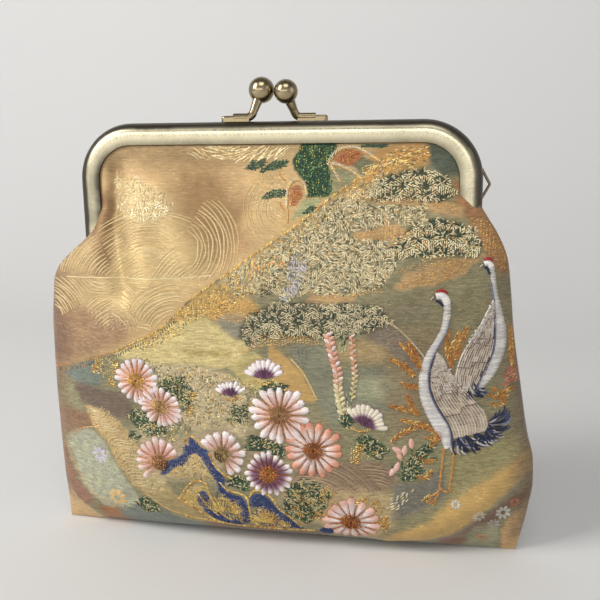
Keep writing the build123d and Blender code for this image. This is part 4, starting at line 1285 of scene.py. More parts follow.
def border(silk, gilt):
    """The knotted edge of the satin, and the banks under it."""
    tones = [(4, GILT), (3, GILT_LIGHT), (2, GILT_ORANGE), (2, srgb(150, 140, 124))]
    knots(gilt, BORDER[3:], tones, 0.85, 0.42, seed=10, thick=0.36)
    knots(gilt, BORDER[:4], [(2, GILT_ORANGE), (1, srgb(206, 150, 104))], 0.7, 0.75, seed=11, height=0.14)
    drift = [(-39, 52.4), (-32, 55.2), (-26, 59.2), (-20.5, 64.4), (-14, 69), (-8, 72.6), (-4, 68),
             (-12, 62), (-19, 61), (-25, 55.4), (-32, 52.6)]
    grains(gilt, drift, [(3, GILT), (2, GILT_LIGHT), (2, srgb(196, 160, 92)), (2, srgb(134, 118, 88))],
           lean=20, swirl=90, size=(0.85, 0.36), pitch=(0.66, 0.6), seed=12, curl=100, reach=2.6)
    dark_edge = [(-60, 44.8), (-52, 47), (-45, 49.8), (-40.5, 51.2), (-36, 53.6), (-29, 57), (-24, 61)]
    knots(silk, np.array(dark_edge) + (0.3, -0.5),
          [(2, srgb(96, 90, 84)), (1, srgb(130, 112, 84)), (1, GILT_ORANGE)], 1.1, 0.74, seed=54, slant=65,
          height=0.16, thick=0.4)
    grains(silk, [(-38, 53), (-33, 55.8), (-27, 57), (-25, 55.4), (-32, 52.6)],
           [(1, srgb(120, 124, 126)), (1, srgb(140, 134, 118))], lean=15, size=(1.2, 0.46),
           pitch=(1.4, 0.9), seed=13)
    slope = [(-11, 71.6), (-4, 75.8), (1, 79.4), (10, 85.8), (14, 88.6), (17, 88.8), (11, 82.6), (2, 74.5),
             (0, 68), (-8, 67.6)]
    grains(gilt, slope, [(3, GILT), (3, GILT_LIGHT), (2, GILT_ORANGE)], lean=60, swirl=110,
           size=(0.9, 0.36), pitch=(0.8, 0.74), seed=14, curl=100, reach=2.4, height=0.2)
    grains(silk, slope,
           [(4, srgb(226, 216, 174)), (2, srgb(138, 134, 106)), (1, TEAL), (1, srgb(110, 102, 78))],
           lean=60, swirl=110, size=(0.95, 0.38), pitch=(0.6, 0.6), seed=15, curl=100, reach=2.4)
    for line in ([(-4.4, 72), (-3.6, 75), (-3, 76.4)], [(-3.4, 74.6), (-1.4, 74), (-0.4, 75)],
                 [(0.4, 75.4), (2.6, 75.2), (4, 75.6), (3.4, 74.2)]):
        outline_thread(gilt, line, GILT_ORANGE, 0.6)
    grains(gilt, [(18, 93), (20.4, 94.2), (23, 96.4), (28, 100.6), (37, 102.8), (38, 99), (31, 98.4),
                  (26, 95), (22.8, 90.6), (18, 90.6)],
           [(3, GILT), (2, GILT_LIGHT), (3, GILT_ORANGE), (2, srgb(170, 140, 100)), (1, DARK_SAGE_AND_SHADE)],
           lean=35, swirl=60, size=(1.1, 0.36), pitch=(0.66, 0.66), seed=16)
    knots(gilt, [(24, 97.5), (29, 98.6), (31.5, 99), (33.4, 97.6)], [(1, GILT_LIGHT)], 1.2, 0.7, seed=17)


def foliage(silk, gilt):
    """Crowded clumps of pine: cream needles over green, with gilt between the clumps."""
    cream = [(5, srgb(248, 233, 190)), (3, srgb(224, 207, 160)), (2, srgb(186, 174, 128)),
             (1, srgb(214, 168, 112))]
    olive = [(3, srgb(138, 136, 102)), (2, srgb(96, 102, 78)), (2, srgb(204, 166, 108))]
    mixed = [(7, srgb(246, 230, 186)), (5, srgb(220, 204, 158)), (3, srgb(164, 154, 114)),
             (3, srgb(82, 84, 62)), (1, srgb(206, 160, 100)), (1, srgb(164, 176, 158))]
    green = [(3, LEAF_DARK), (2, srgb(90, 96, 70)), (1, LEAF)]
    grey = [(4, srgb(226, 210, 174)), (3, srgb(194, 182, 142)), (1, srgb(128, 126, 94))]
    fans(silk, FOLIAGE["slope"], cream, olive, 2.6, seed=19)
    fans(silk, FOLIAGE["crest"], cream, green, 3.2, seed=20)
    grains(silk, FOLIAGE["bank"], mixed, lean=75, swirl=130, size=(1.05, 0.36), pitch=(0.46, 0.54), seed=21,
           reach=2.4)
    grains(silk, FOLIAGE["hill"], mixed, lean=70, swirl=140, size=(1.05, 0.36), pitch=(0.46, 0.54), seed=23,
           reach=2.4)
    fans(silk, FOLIAGE["knoll"], cream, green, 3.4, (1.05, 0.4), seed=22)
    fans(silk, FOLIAGE["fringe"], cream, green, 2.8, seed=18)
    fans(silk, FOLIAGE["hedge"], grey, green, 3.0, (1.05, 0.38), seed=24)
    fans(silk, FOLIAGE["fern"], grey, green, 2.4, (1.2, 0.38), seed=25)
    for seed, patch in enumerate(GLINTS, start=26):
        grains(gilt, patch,
               [(1, GILT_ORANGE), (2, srgb(216, 180, 122)), (1, GILT), (2, srgb(186, 150, 102))], lean=10,
               swirl=60, size=(0.95, 0.28), pitch=(0.72, 0.5), seed=seed, height=0.12)
    sprig = [(3.4, 66.6), (5, 71.4), (4.6, 74), (6.6, 77.4), (8, 75), (10, 76.4), (9, 72), (7.4, 69),
             (5.6, 66)]
    grains(silk, sprig, [(3, srgb(224, 220, 224)), (2, srgb(196, 190, 188)), (2, srgb(150, 146, 128)),
                         (1, srgb(226, 214, 170))], lean=75,
           swirl=90, size=(1.2, 0.44), pitch=(0.54, 0.6), seed=36, height=0.32)
    fans(silk, [(-1, 67.4), (-1.4, 69.6), (1.6, 71.2), (2.6, 70.4), (0.4, 68)], green, green, 2.0, seed=37)
    fans(silk, [(0, 72), (1.4, 74.2), (3, 73.8), (2.2, 71.4)], [(1, LEAF), (1, TEAL)], green, 2.0, seed=38)
    fans(silk, [(12.6, 84), (14.4, 87), (18, 87), (15.8, 84)], grey, green, 2.0, seed=39)


GLINTS = [  # gilt strips between the clumps of pine
    [(18, 89.8), (26, 91), (36, 90.4), (45, 89), (44, 87), (36, 88.8), (26, 89.4)],
    [(20, 82.2), (29, 84.4), (35.5, 82), (30, 80.6), (21, 80.8)],
    [(10, 68.6), (22, 69.4), (30, 70.4), (24, 68.2), (14, 67)],
    [(-3, 58), (4, 58.6), (12, 57.4), (14, 55.8), (6, 56.4), (0, 55), (-7, 53.2)],
    [(38, 77.4), (45, 77), (49, 75.8), (44, 75), (36, 74.6), (31, 73.4)],
    [(31, 70), (36, 73.4), (44, 75.4), (49, 76.6), (45, 73), (38, 70.6)],
    [(44, 94), (47, 91), (52, 86), (57, 80), (59, 73), (55, 74), (51, 79), (48.6, 84), (45, 88.6)],
    [(-15, 62), (-12, 66), (-4, 67), (-2, 64), (-7, 61)],
]


def village(silk, gilt):
    """Pines, and roofs under them."""
    pine = [(8, 103.2), (16.2, 103.2), (14.5, 99.4), (14.4, 91), (9.5, 90.6), (8.7, 95), (6, 97.5),
            (5.7, 99.5)]
    fans(silk, pine, [(4, LEAF), (1, srgb(78, 122, 70)), (1, LEAF_LIGHT)], [(1, LEAF_DARK)], 2.2,
         (0.9, 0.4), seed=40)
    grains(gilt, pine, [(2, srgb(160, 164, 84)), (2, srgb(222, 204, 116)), (1, srgb(104, 148, 88))],
           lean=60, swirl=90, size=(0.62, 0.3), pitch=(0.6, 0.6), seed=41, height=0.28, share=0.46)
    tufts = ([(-6.4, 97.2), (-4.4, 99.4), (-1, 99.8), (-1.6, 98.2), (-4, 97.2)],
             [(-2.6, 96.6), (0.4, 99), (4.2, 99.4), (3.6, 98), (0.4, 97)],
             [(-2.2, 90.2), (0.4, 92.4), (4.2, 92.4), (3.4, 91), (0.4, 90.4)],
             [(21.6, 102.4), (23, 103.4), (28.4, 103.4), (27.4, 102.2)],
             [(8.4, 87), (10.4, 88.8), (12, 88.6), (10, 87)])
    for seed, tuft in enumerate(tufts, start=42):
        silk.fill(tuft, LEAF_DARK, pitch=0.38, height=0.1, ragged=0.7, seed=seed)
        fans(silk, tuft, [(3, LEAF), (1, LEAF_LIGHT)], [(3, LEAF_DARK), (1, LEAF)], 1.8, (0.9, 0.42),
             (0.42, 0.5), seed)
    roofs = ([(15.2, 99.4), (17, 101.2), (19.4, 101.7), (22, 100.6), (20.6, 98.9), (19, 98), (16.6, 98.6)],
             [(4.9, 89.6), (5.4, 93), (7, 93.6), (8, 91.6), (7.2, 89.8), (6, 88.6)])
    for seed, roof in enumerate(roofs, start=47):
        silk.fill(rounded(roof, 0.5, True), RUST, ragged=0.5, seed=seed)
    tiles = ([(15.6, 99.4), (17, 101), (19.4, 101.5), (21.6, 100.6), (19, 98.4)],
             [(5.2, 89.6), (5.6, 92.8), (7, 93.2), (7.8, 91.4), (6.2, 89)])
    for seed, tile in enumerate(tiles, start=52):
        grains(gilt, tile, [(3, srgb(216, 148, 88)), (2, srgb(170, 98, 52)), (1, GILT)], lean=20, swirl=90,
               size=(0.9, 0.34), pitch=(0.6, 0.54), seed=seed, share=0.85, height=0.26)
    roof_line = srgb(232, 218, 186)
    ridges = ([(13.8, 98.4), (14.6, 100.2), (16.6, 102), (20, 102.4), (23.2, 101), (25.6, 99.4)],
              [(14, 98.8), (16.6, 98.2), (19, 97.2), (21.8, 95.2)],
              [(14.6, 98.2), (15.8, 96.2), (16.8, 94.6)],
              [(4.2, 88.6), (4.3, 92.8), (6, 95), (8.2, 94.2), (9, 91.6)])
    for seed, line in enumerate(ridges, start=300):
        knots(silk, line, [(3, roof_line), (1, srgb(226, 196, 150)), (1, GILT_LIGHT)], 0.95, 0.4, seed, 55,
              0.26, 0.4)
        outline_thread(gilt, rounded(line, 0.4) + (0.25, -0.5), GILT_ORANGE, 0.26, 0.24)
    for line in ([(1.8, 96.6), (3, 95), (3.8, 94.6)], [(2.4, 89.6), (3, 88.4), (3.8, 87.6)],
                 [(4.6, 88), (4.6, 84.6)], [(5.6, 90.6), (5, 88.6)]):
        outline_thread(gilt, line, GILT_ORANGE, 0.42)
    grains(silk, [(-5, 88), (-4.6, 94), (0, 96.4), (3.4, 96), (3.8, 86), (0, 85)],
           [(3, srgb(232, 208, 158)), (1, srgb(204, 160, 104))], lean=40, swirl=90, size=(1.1, 0.32),
           pitch=(0.9, 0.8), seed=49, height=0.12, curl=100)
    grains(gilt, [(20.6, 97.6), (25.4, 99), (30, 101.6), (37, 103), (36, 98.6), (30, 97), (25, 95.6),
                  (22, 96)], [(3, srgb(232, 206, 150)), (2, GILT), (1, SAGE_DARK)], lean=20, swirl=60,
           size=(1.1, 0.34), pitch=(0.8, 0.66), seed=304, height=0.18)


def between(start, end, share):
    """A line part of the way from one line to another."""
    reach = np.linspace(0, 1, 16)
    ends = [rounded(line, 0.3) for line in (start, end)]
    ends = [line[np.round(reach * (len(line) - 1)).astype(int)] for line in ends]
    return mix(*ends, share)


def tuft(threads, foot, reach, lean, spread, dark, light, seed):
    """A clump of feathers that fans out from its foot, with pale quills among the dark ones."""
    rng = np.random.default_rng(seed)
    for tier, inner in enumerate((0.08, 0.34, 0.6)):
        count = int((5 + 3 * tier) * spread / 90)
        for share in (np.arange(count) + 0.5) / count:
            angle = math.radians(lean + spread * (share - 0.5)) + rng.uniform(-0.09, 0.09)
            r = reach * (inner + np.linspace(0, 0.44, 6) * rng.uniform(0.8, 1.15))
            curve = angle + rng.uniform(-0.16, 0.16) + 0.3 * np.linspace(0, 1, 6) ** 2
            line = spoke(foot, r, curve)
            tone = pick(rng, light if rng.uniform() < 0.24 else dark)
            threads.ribbon(line, 0.62 * np.array((0.4, 0.8, 1, 1, 0.8, 0.35)), tone, 0.5 - 0.06 * tier)


def crane(silk, gilt, head, neck, back, shade, wing, plumes, legs, seed):
    """A standing crane. Wing is its two long edges, and plumes are the clumps of its dark tail."""
    rng = np.random.default_rng(seed)
    neck = rounded(neck, 0.5)
    half = 0.5 * np.interp(np.linspace(0, 1, len(neck)), (0, 0.25, 0.55, 0.85, 1), back)
    along = np.gradient(neck, axis=0)
    along /= np.linalg.norm(along, axis=1, keepdims=True)
    side = np.stack([-along[:, 1], along[:, 0]], 1)
    leading, trailing = (rounded(edge, 0.5) for edge in wing)
    silk.fill(np.vstack([leading, trailing[::-1]]), WING, pitch=0.36, height=0.24, seed=seed)
    for index in range(13):
        line = between(*wing, (index + 0.5) / 13)
        silk.ribbon(line, 0.4, mix(WING, CRANE_WHITE, rng.uniform(0.2, 0.9)), 0.36)
        for start in range(5 + int(rng.integers(0, 3)), 13, 3):
            silk.ribbon(line[start:start + 3] + (0.18, 0), 0.2, WING_DARK * rng.uniform(0.75, 1.15), 0.44)
    for share in (0.3, 0.55, 0.78):
        tier = np.array([between(*wing, across)[int(15 * (share - 0.1 * across))]
                         for across in np.linspace(0, 1, 8)])
        silk.ribbon(tier, 0.26, WING_DARK * 0.85, 0.46)
    upper = np.vstack([leading[:len(leading) // 2], trailing[:len(trailing) // 2][::-1]])
    grains(silk, upper, [(4, CRANE_WHITE), (3, WING), (3, WING_DARK)], lean=-50, swirl=150,
           size=(1.1, 0.42), pitch=(0.66, 0.6), seed=seed, height=0.44, curl=110, reach=1.6)
    body = np.vstack([neck + side * half[:, None], (neck - side * half[:, None])[::-1]])
    silk.fill(body, CRANE_WHITE, pitch=0.34, height=0.36, seed=seed)
    inner = neck + side * (half * shade)[:, None]
    start = len(inner) // 3
    silk.ribbon(inner[len(inner) // 8:], 0.42, CRANE_GREY, 0.46)
    silk.ribbon(inner[start:] + side[start:] * 0.3 * np.sign(shade), 0.5, mix(PLUME, WING_DARK, 0.35), 0.44)
    for index, (foot, reach, lean, spread) in enumerate(plumes):
        tuft(silk, foot, reach, lean, spread, [(4, PLUME), (3, srgb(24, 26, 46)), (2, srgb(58, 68, 110))],
             [(2, srgb(214, 208, 202)), (1, srgb(150, 150, 164))], seed + 10 * index)
    for leg in legs:
        leg = rounded(leg, 0.4)
        gilt.ribbon(leg, 0.62 + 0.16 * np.sin(np.arange(len(leg)) * 2.2), GILT_ORANGE, 0.3)
    face, cap, cheek, beak = (rounded(head[part], 0.3) for part in ("face", "cap", "cheek", "beak"))
    silk.ribbon(face, head["size"], CRANE_WHITE, 0.46, across=5)
    silk.ribbon(cap, 0.85 * np.sin(np.linspace(0.4, math.pi - 0.4, len(cap))), RED, 0.54)
    silk.ribbon(cheek, 0.7, NAVY * 0.6, 0.54)
    silk.ribbon(beak, np.linspace(0.42, 0.2, len(beak)), srgb(206, 196, 178), 0.4)


def cranes(silk, gilt):
    """The far crane, then the near one."""
    crane(
        silk, gilt,
        head={"size": 1.5,
              "face": [(50.7, 75.3), (51.7, 75.5), (52.4, 74.6)],
              "cap": [(50.5, 76.2), (51.6, 76.6), (52.7, 76)],
              "cheek": [(50.9, 74.7), (51.6, 74), (52.1, 72.8)],
              "beak": [(50.5, 75.2), (50.1, 74.9), (49.8, 74.5)]},
        neck=[(52.4, 74.8), (52.8, 72.4), (53.2, 69.4), (53.9, 66), (54.6, 62.4), (55.1, 58.6), (55, 54.8),
              (53.8, 51), (51.9, 47.6), (50.2, 44.6)],
        back=(1.0, 1.1, 2.7, 2.7, 1.0), shade=-0.95,
        wing=([(53.2, 66.4), (51.4, 63), (49.8, 59.7), (47.6, 56.4), (46, 53.6), (44.9, 49.9), (44.8, 47.4),
               (46.6, 44.8)],
              [(53.6, 66.2), (53.8, 61.7), (53.7, 56.4), (52.9, 52.3), (51.3, 47.8), (49, 45)]),
        plumes=(((49, 47.4), 4.8, -92, 60), ((49.8, 46.4), 3.4, -70, 40)),
        legs=(), seed=62,
    )
    crane(
        silk, gilt,
        head={"size": 1.8,
              "face": [(39.8, 67.9), (41, 68.1), (42, 67.3), (42.5, 66)],
              "cap": [(39.7, 68.9), (41.1, 69.3), (42.6, 68.6)],
              "cheek": [(39.8, 66.9), (40.7, 66.5), (41.5, 65.6)],
              "beak": [(39.3, 67.8), (38.9, 67.4), (38.6, 67)]},
        neck=[(42.4, 66.4), (42.5, 64.8), (42.3, 62), (41.7, 59.4), (40.3, 56.8), (38.9, 54.2),
              (37.9, 51.4), (37.4, 48), (37.8, 44.4), (39.2, 40.6), (41.2, 37), (42.7, 34.2),
              (43.5, 30.6)],
        back=(1.5, 1.5, 2.4, 3.4, 1.6), shade=0.95,
        wing=([(40.4, 54.6), (39.2, 50.6), (39, 46.4), (40.2, 42.4), (42.4, 38.6), (44, 35), (44.8, 33)],
              [(41.4, 53.6), (44, 49), (47, 45.4), (50, 42), (52, 39.4), (53, 36.6), (52.4, 34.6)]),
        plumes=(((52.6, 36.6), 5.6, -18, 96), ((52.2, 35.2), 4.8, -54, 80),
                ((49.8, 34.6), 5.2, -70, 80), ((47.6, 34.2), 5.2, -80, 80), ((46, 33.8), 4.6, -92, 70)),
        legs=([(42.6, 30.6), (42.3, 27.6), (42.1, 24.8), (41.9, 22), (41.9, 19.8), (43.6, 18.8)],
              [(45, 31), (44.9, 28), (44.7, 24.6), (44.3, 21.6), (44.1, 19.4)],
              [(41.9, 19.4), (40.6, 18.2), (39, 17.4)], [(41.6, 18.8), (40.8, 17), (39.6, 15.6)],
              [(44.1, 19.4), (45.4, 18.8)]),
        seed=61,
    )


FLOWERS = [  # centre, radius, petals, colours of tip, middle and heart, and how it differs from a plain one
    ((-34.6, 44.8), 5.9, 17, mix(LILAC, PETAL_WHITE, 0.7), mix(PEACH, PETAL_WHITE, 0.3), srgb(236, 176, 92),
     {}),
    ((-28.4, 38.2), 6.0, 18, mix(PINK, PETAL_WHITE, 0.8), PINK, srgb(226, 178, 120),
     {"squash": 0.84, "turn": -32}),
    ((-29.6, 23.0), 6.6, 17, mix(PINK, PETAL_WHITE, 0.6), mix(PINK, PEACH, 0.5), srgb(206, 150, 104),
     {"arc": (24, 236)}),
    ((-12.4, 26.6), 6.3, 15, PETAL_WHITE, PINK, srgb(176, 150, 104),
     {"squash": 0.95, "turn": 80, "arc": (-158, 86)}),
    ((2.7, 38.1), 7.3, 18, PETAL_WHITE, mix(PEACH, PETAL_WHITE, 0.5), srgb(200, 150, 104),
     {"inner": srgb(220, 152, 122)}),
    ((11.0, 29.2), 7.0, 17, srgb(228, 156, 126), mix(PEACH, PETAL_WHITE, 0.8), srgb(186, 104, 56),
     {"inner": PETAL_WHITE}),
    ((-0.6, 22.0), 5.9, 19, PETAL_WHITE, PURPLE, srgb(206, 122, 52), {"inner": PURPLE}),
    ((20.0, 9.4), 7.1, 15, mix(PEACH, PETAL_WHITE, 0.2), mix(PEACH, PETAL_WHITE, 0.9), srgb(196, 106, 50),
     {"inner": PETAL_WHITE, "squash": 0.98}),
]
SIDE_FLOWERS = [  # foot, radius, tip, lean and spread in degrees, and petals
    ((-0.9, 46.9), 5.6, PETAL_WHITE, 92, 128, 9),
    ((-9.6, 42.2), 4.6, PETAL_WHITE, 92, 120, 8),
    ((23.0, 35.8), 6.2, mix(CREAM, PETAL_WHITE, 0.5), 62, 128, 11),
]


def flowers(silk, gilt):
    """The chrysanthemums, from left to right, then the ones seen from the side."""
    for seed, (*shape, ways) in enumerate(FLOWERS, start=70):
        flower(silk, gilt, *shape, seed=seed, **ways)
    for seed, (foot, radius, tip, lean, spread, count) in enumerate(SIDE_FLOWERS, start=78):
        side_flower(silk, gilt, foot, radius, tip, PURPLE, lean, spread, count, seed)


LEAF_PATCHES = [  # where leaves show between the flowers
    [(-27.6, 43.4), (-26, 45.6), (-22, 46), (-19.8, 43), (-20.6, 39.6), (-22.4, 38), (-23.6, 41)],
    [(-37.6, 34), (-35.4, 36.4), (-31, 35), (-28.4, 34.4), (-28, 31.4), (-32, 30.4), (-34.4, 31.6)],
    [(-38, 29), (-36.6, 30.6), (-34.6, 29.6), (-35.8, 27.8)],
    [(-10, 36), (-8.6, 39.8), (-5.4, 39.4), (-6, 35.6)],
    [(-5.6, 28.4), (-4.4, 32), (0, 31), (3.4, 29.6), (2.4, 26.8), (-1, 28)],
    [(-11.4, 18.2), (-9.6, 20.6), (-6, 20), (-6.8, 17)],
    [(3.8, 12), (4.8, 18.6), (8.6, 20.4), (11.6, 19.8), (14.4, 16.6), (12, 12), (8.4, 8.6), (5.2, 10.6)],
    [(-1.6, 44.4), (0.4, 46.6), (4.4, 46), (3.6, 44.2)],
    [(21.8, 31.6), (23.4, 34), (26.6, 31.8), (28.8, 30), (27, 27.8), (24.4, 29)],
    [(34.6, 27), (37.4, 30.8), (40, 30.6), (37.6, 27.8), (36.8, 24.2), (34.6, 22.4), (33.4, 24.6)],
    [(17.8, 37.4), (19.4, 39), (20.6, 37.2), (19, 35.8)],
    [(-37.6, 9.4), (-35, 11.6), (-32, 9.4), (-31.8, 7.2), (-35, 6.6)],
]


def leaves(silk, gilt):
    """Clumps of leaves between the flowers, a little larger than their patches."""
    for seed, patch in enumerate(LEAF_PATCHES, start=90):
        middle = np.mean(patch, 0)
        patch = middle + 1.15 * (np.array(patch) - middle)
        silk.fill(patch, LEAF_DARK, pitch=0.4, height=0.1, ragged=0.9, seed=seed)
        fans(silk, patch, [(4, LEAF), (3, LEAF_LIGHT), (6, srgb(208, 196, 154))],
             [(4, LEAF_DARK), (1, LEAF)], 2.3, (1.3, 0.44), (0.6, 0.64), seed, 0.26)
        grains(gilt, patch, [(1, GILT), (2, srgb(220, 200, 146)), (2, GILT_LIGHT)], lean=50, swirl=120,
               size=(0.9, 0.32), pitch=(0.9, 0.9), seed=seed + 20, reach=2.2, height=0.32, share=0.55)


GOLD_TEXTURE = [  # small pieces of textured gold round the rocks and flowers
    [(-24, 13), (-20.6, 17), (-17.6, 16.8), (-16.2, 13), (-13.6, 9.6), (-17, 7.4), (-21, 9.8)],
    [(12.2, 20.6), (15.6, 19), (16.6, 14), (14.8, 10), (12.4, 12.4), (13.4, 16)],
    [(-13, 13.6), (-9, 13), (-7.4, 9.6), (-9, 7), (-12, 9.6)],
    [(-45.6, 49.4), (-40, 51), (-39.4, 46), (-42, 42.6), (-44.6, 45)],
    [(21, 32.4), (22.6, 34), (25.4, 32), (27, 29), (24, 27), (20.4, 29)],
    [(25, 15), (28, 14.6), (30, 11), (29, 7.6), (27, 8), (27.4, 11.6)],
]


def gilt_sprays(gilt):
    """Grasses round the cranes, berries among the flowers, and flecks on the textured ground."""
    grasses = (
        [(31.4, 57), (34, 54.6), (36.4, 51)], [(33.4, 57.4), (35.4, 54), (37, 50.4)],
        [(29.4, 53), (32.4, 51.4), (35, 49)], [(43, 60), (42.6, 56.6), (43.6, 52)],
        [(45.6, 59.6), (44.2, 56), (43.8, 51.4)], [(47.6, 60.6), (46, 57), (45, 53)],
        [(32, 47.4), (33.6, 46.4), (36, 46)], [(29, 41.4), (32.4, 40.6), (36, 39.6)],
        [(33.6, 44.4), (34.4, 42), (36, 39.4)], [(29.8, 32), (32.6, 34.4), (36.2, 36)],
        [(32, 37.8), (35, 37.2), (38.4, 36.4)], [(36.2, 36.2), (39, 35.4), (41.2, 33.4)],
        [(37.8, 33.2), (39.8, 33), (41.6, 33.4)], [(39, 30.8), (40.4, 32.4), (41.4, 34.4)],
        [(36.2, 28.4), (38.2, 27.2), (40.2, 27.4)], [(36, 23.2), (38.2, 22.8), (39.6, 24.4)],
        [(52.6, 43.6), (54.6, 42.8), (57, 42.6)], [(53.6, 45.2), (55.6, 43.8), (58.2, 44.4)],
        [(53, 41.4), (55, 40.8), (56.6, 41.4)], [(57.6, 60), (58, 55), (58.4, 50)],
    )
    for seed, line in enumerate(grasses, start=130):
        fern(gilt, line[::-1], [(4, GILT_ORANGE), (3, srgb(190, 122, 60)), (1, GILT), (1, GILT_LIGHT)],
             1.35, seed)
    berries = ((12.8, 16.6), (13.6, 18), (11.4, 12), (12.4, 10.6), (10.8, 10.4), (22, 29), (21.4, 27),
               (22.6, 31), (6.2, 17), (7.8, 15.8), (6, 12.4), (7, 11), (10.6, 14.8), (27.4, 9.6), (28, 7.6),
               (21.6, 15.4), (23.4, 16), (26.2, 15.4), (25.4, 13), (29, 8.8), (28.2, 10.4), (40, 15.8),
               (38.6, 17), (-19.6, 41.8), (-20.4, 38.4), (-20.6, 36.6), (-30.8, 33), (-40.6, 48.4),
               (-40.6, 46.6), (-41.6, 43.4), (-46.6, 46.4), (-46, 48.2))
    for seed, (x, y) in enumerate(berries, start=160):
        spot = [(x - 1.1, y - 0.8), (x + 1, y - 1.1), (x + 1.1, y + 1), (x - 0.9, y + 1.1)]
        grains(gilt, spot, [(2, GILT), (2, GILT_LIGHT), (2, GILT_ORANGE)], lean=30, swirl=120,
               size=(0.85, 0.42), pitch=(0.6, 0.6), seed=seed, reach=1.5, height=0.28)
    textured = [(-41, 46), (-34, 51.6), (-28, 49.4), (-20, 49.4), (-9, 47.6), (-2, 45), (-4, 38), (-6, 33),
                (-12, 34), (-19, 33), (-25, 29), (-33, 31), (-27, 35), (-22, 40), (-30, 44)]
    grains(gilt, textured,
           [(5, srgb(220, 208, 164)), (3, srgb(126, 116, 86)), (1, GILT), (1, srgb(184, 166, 124))],
           lean=60, swirl=150, size=(1.0, 0.36), pitch=(0.64, 0.6), seed=190, height=0.13, curl=110,
           reach=2.2, share=0.85)
    ground_under = [(-29, 19.4), (-24, 24), (-20, 26), (-16.4, 24), (-14, 19), (-20, 18.6)]
    grains(gilt, ground_under, [(3, srgb(214, 198, 144)), (1, GILT), (1, srgb(120, 112, 82))], lean=50,
           swirl=140, size=(0.85, 0.3), pitch=(0.62, 0.58), seed=191, height=0.14, curl=110, reach=2.0)
    for seed, patch in enumerate(GOLD_TEXTURE, start=55):
        grains(gilt, patch, [(3, GILT), (3, srgb(214, 196, 140)), (2, srgb(130, 112, 76)), (1, GILT_LIGHT)],
               lean=40, swirl=150, size=(0.8, 0.3), pitch=(0.66, 0.62), seed=seed, height=0.16, curl=110,
               reach=2.0, share=0.8)
    coil = [(-50.4, 36), (-44, 35), (-39, 31), (-35.6, 27), (-33.6, 20), (-31.4, 15), (-34, 13),
            (-38, 15.4), (-41.6, 21), (-44.6, 27), (-49, 31.8)]
    grains(gilt, coil, [(4, srgb(206, 186, 136)), (2, srgb(140, 112, 78))], lean=25, swirl=90,
           size=(1.0, 0.26), pitch=(0.95, 0.62), seed=192, curl=120, reach=2.4, height=0.1)


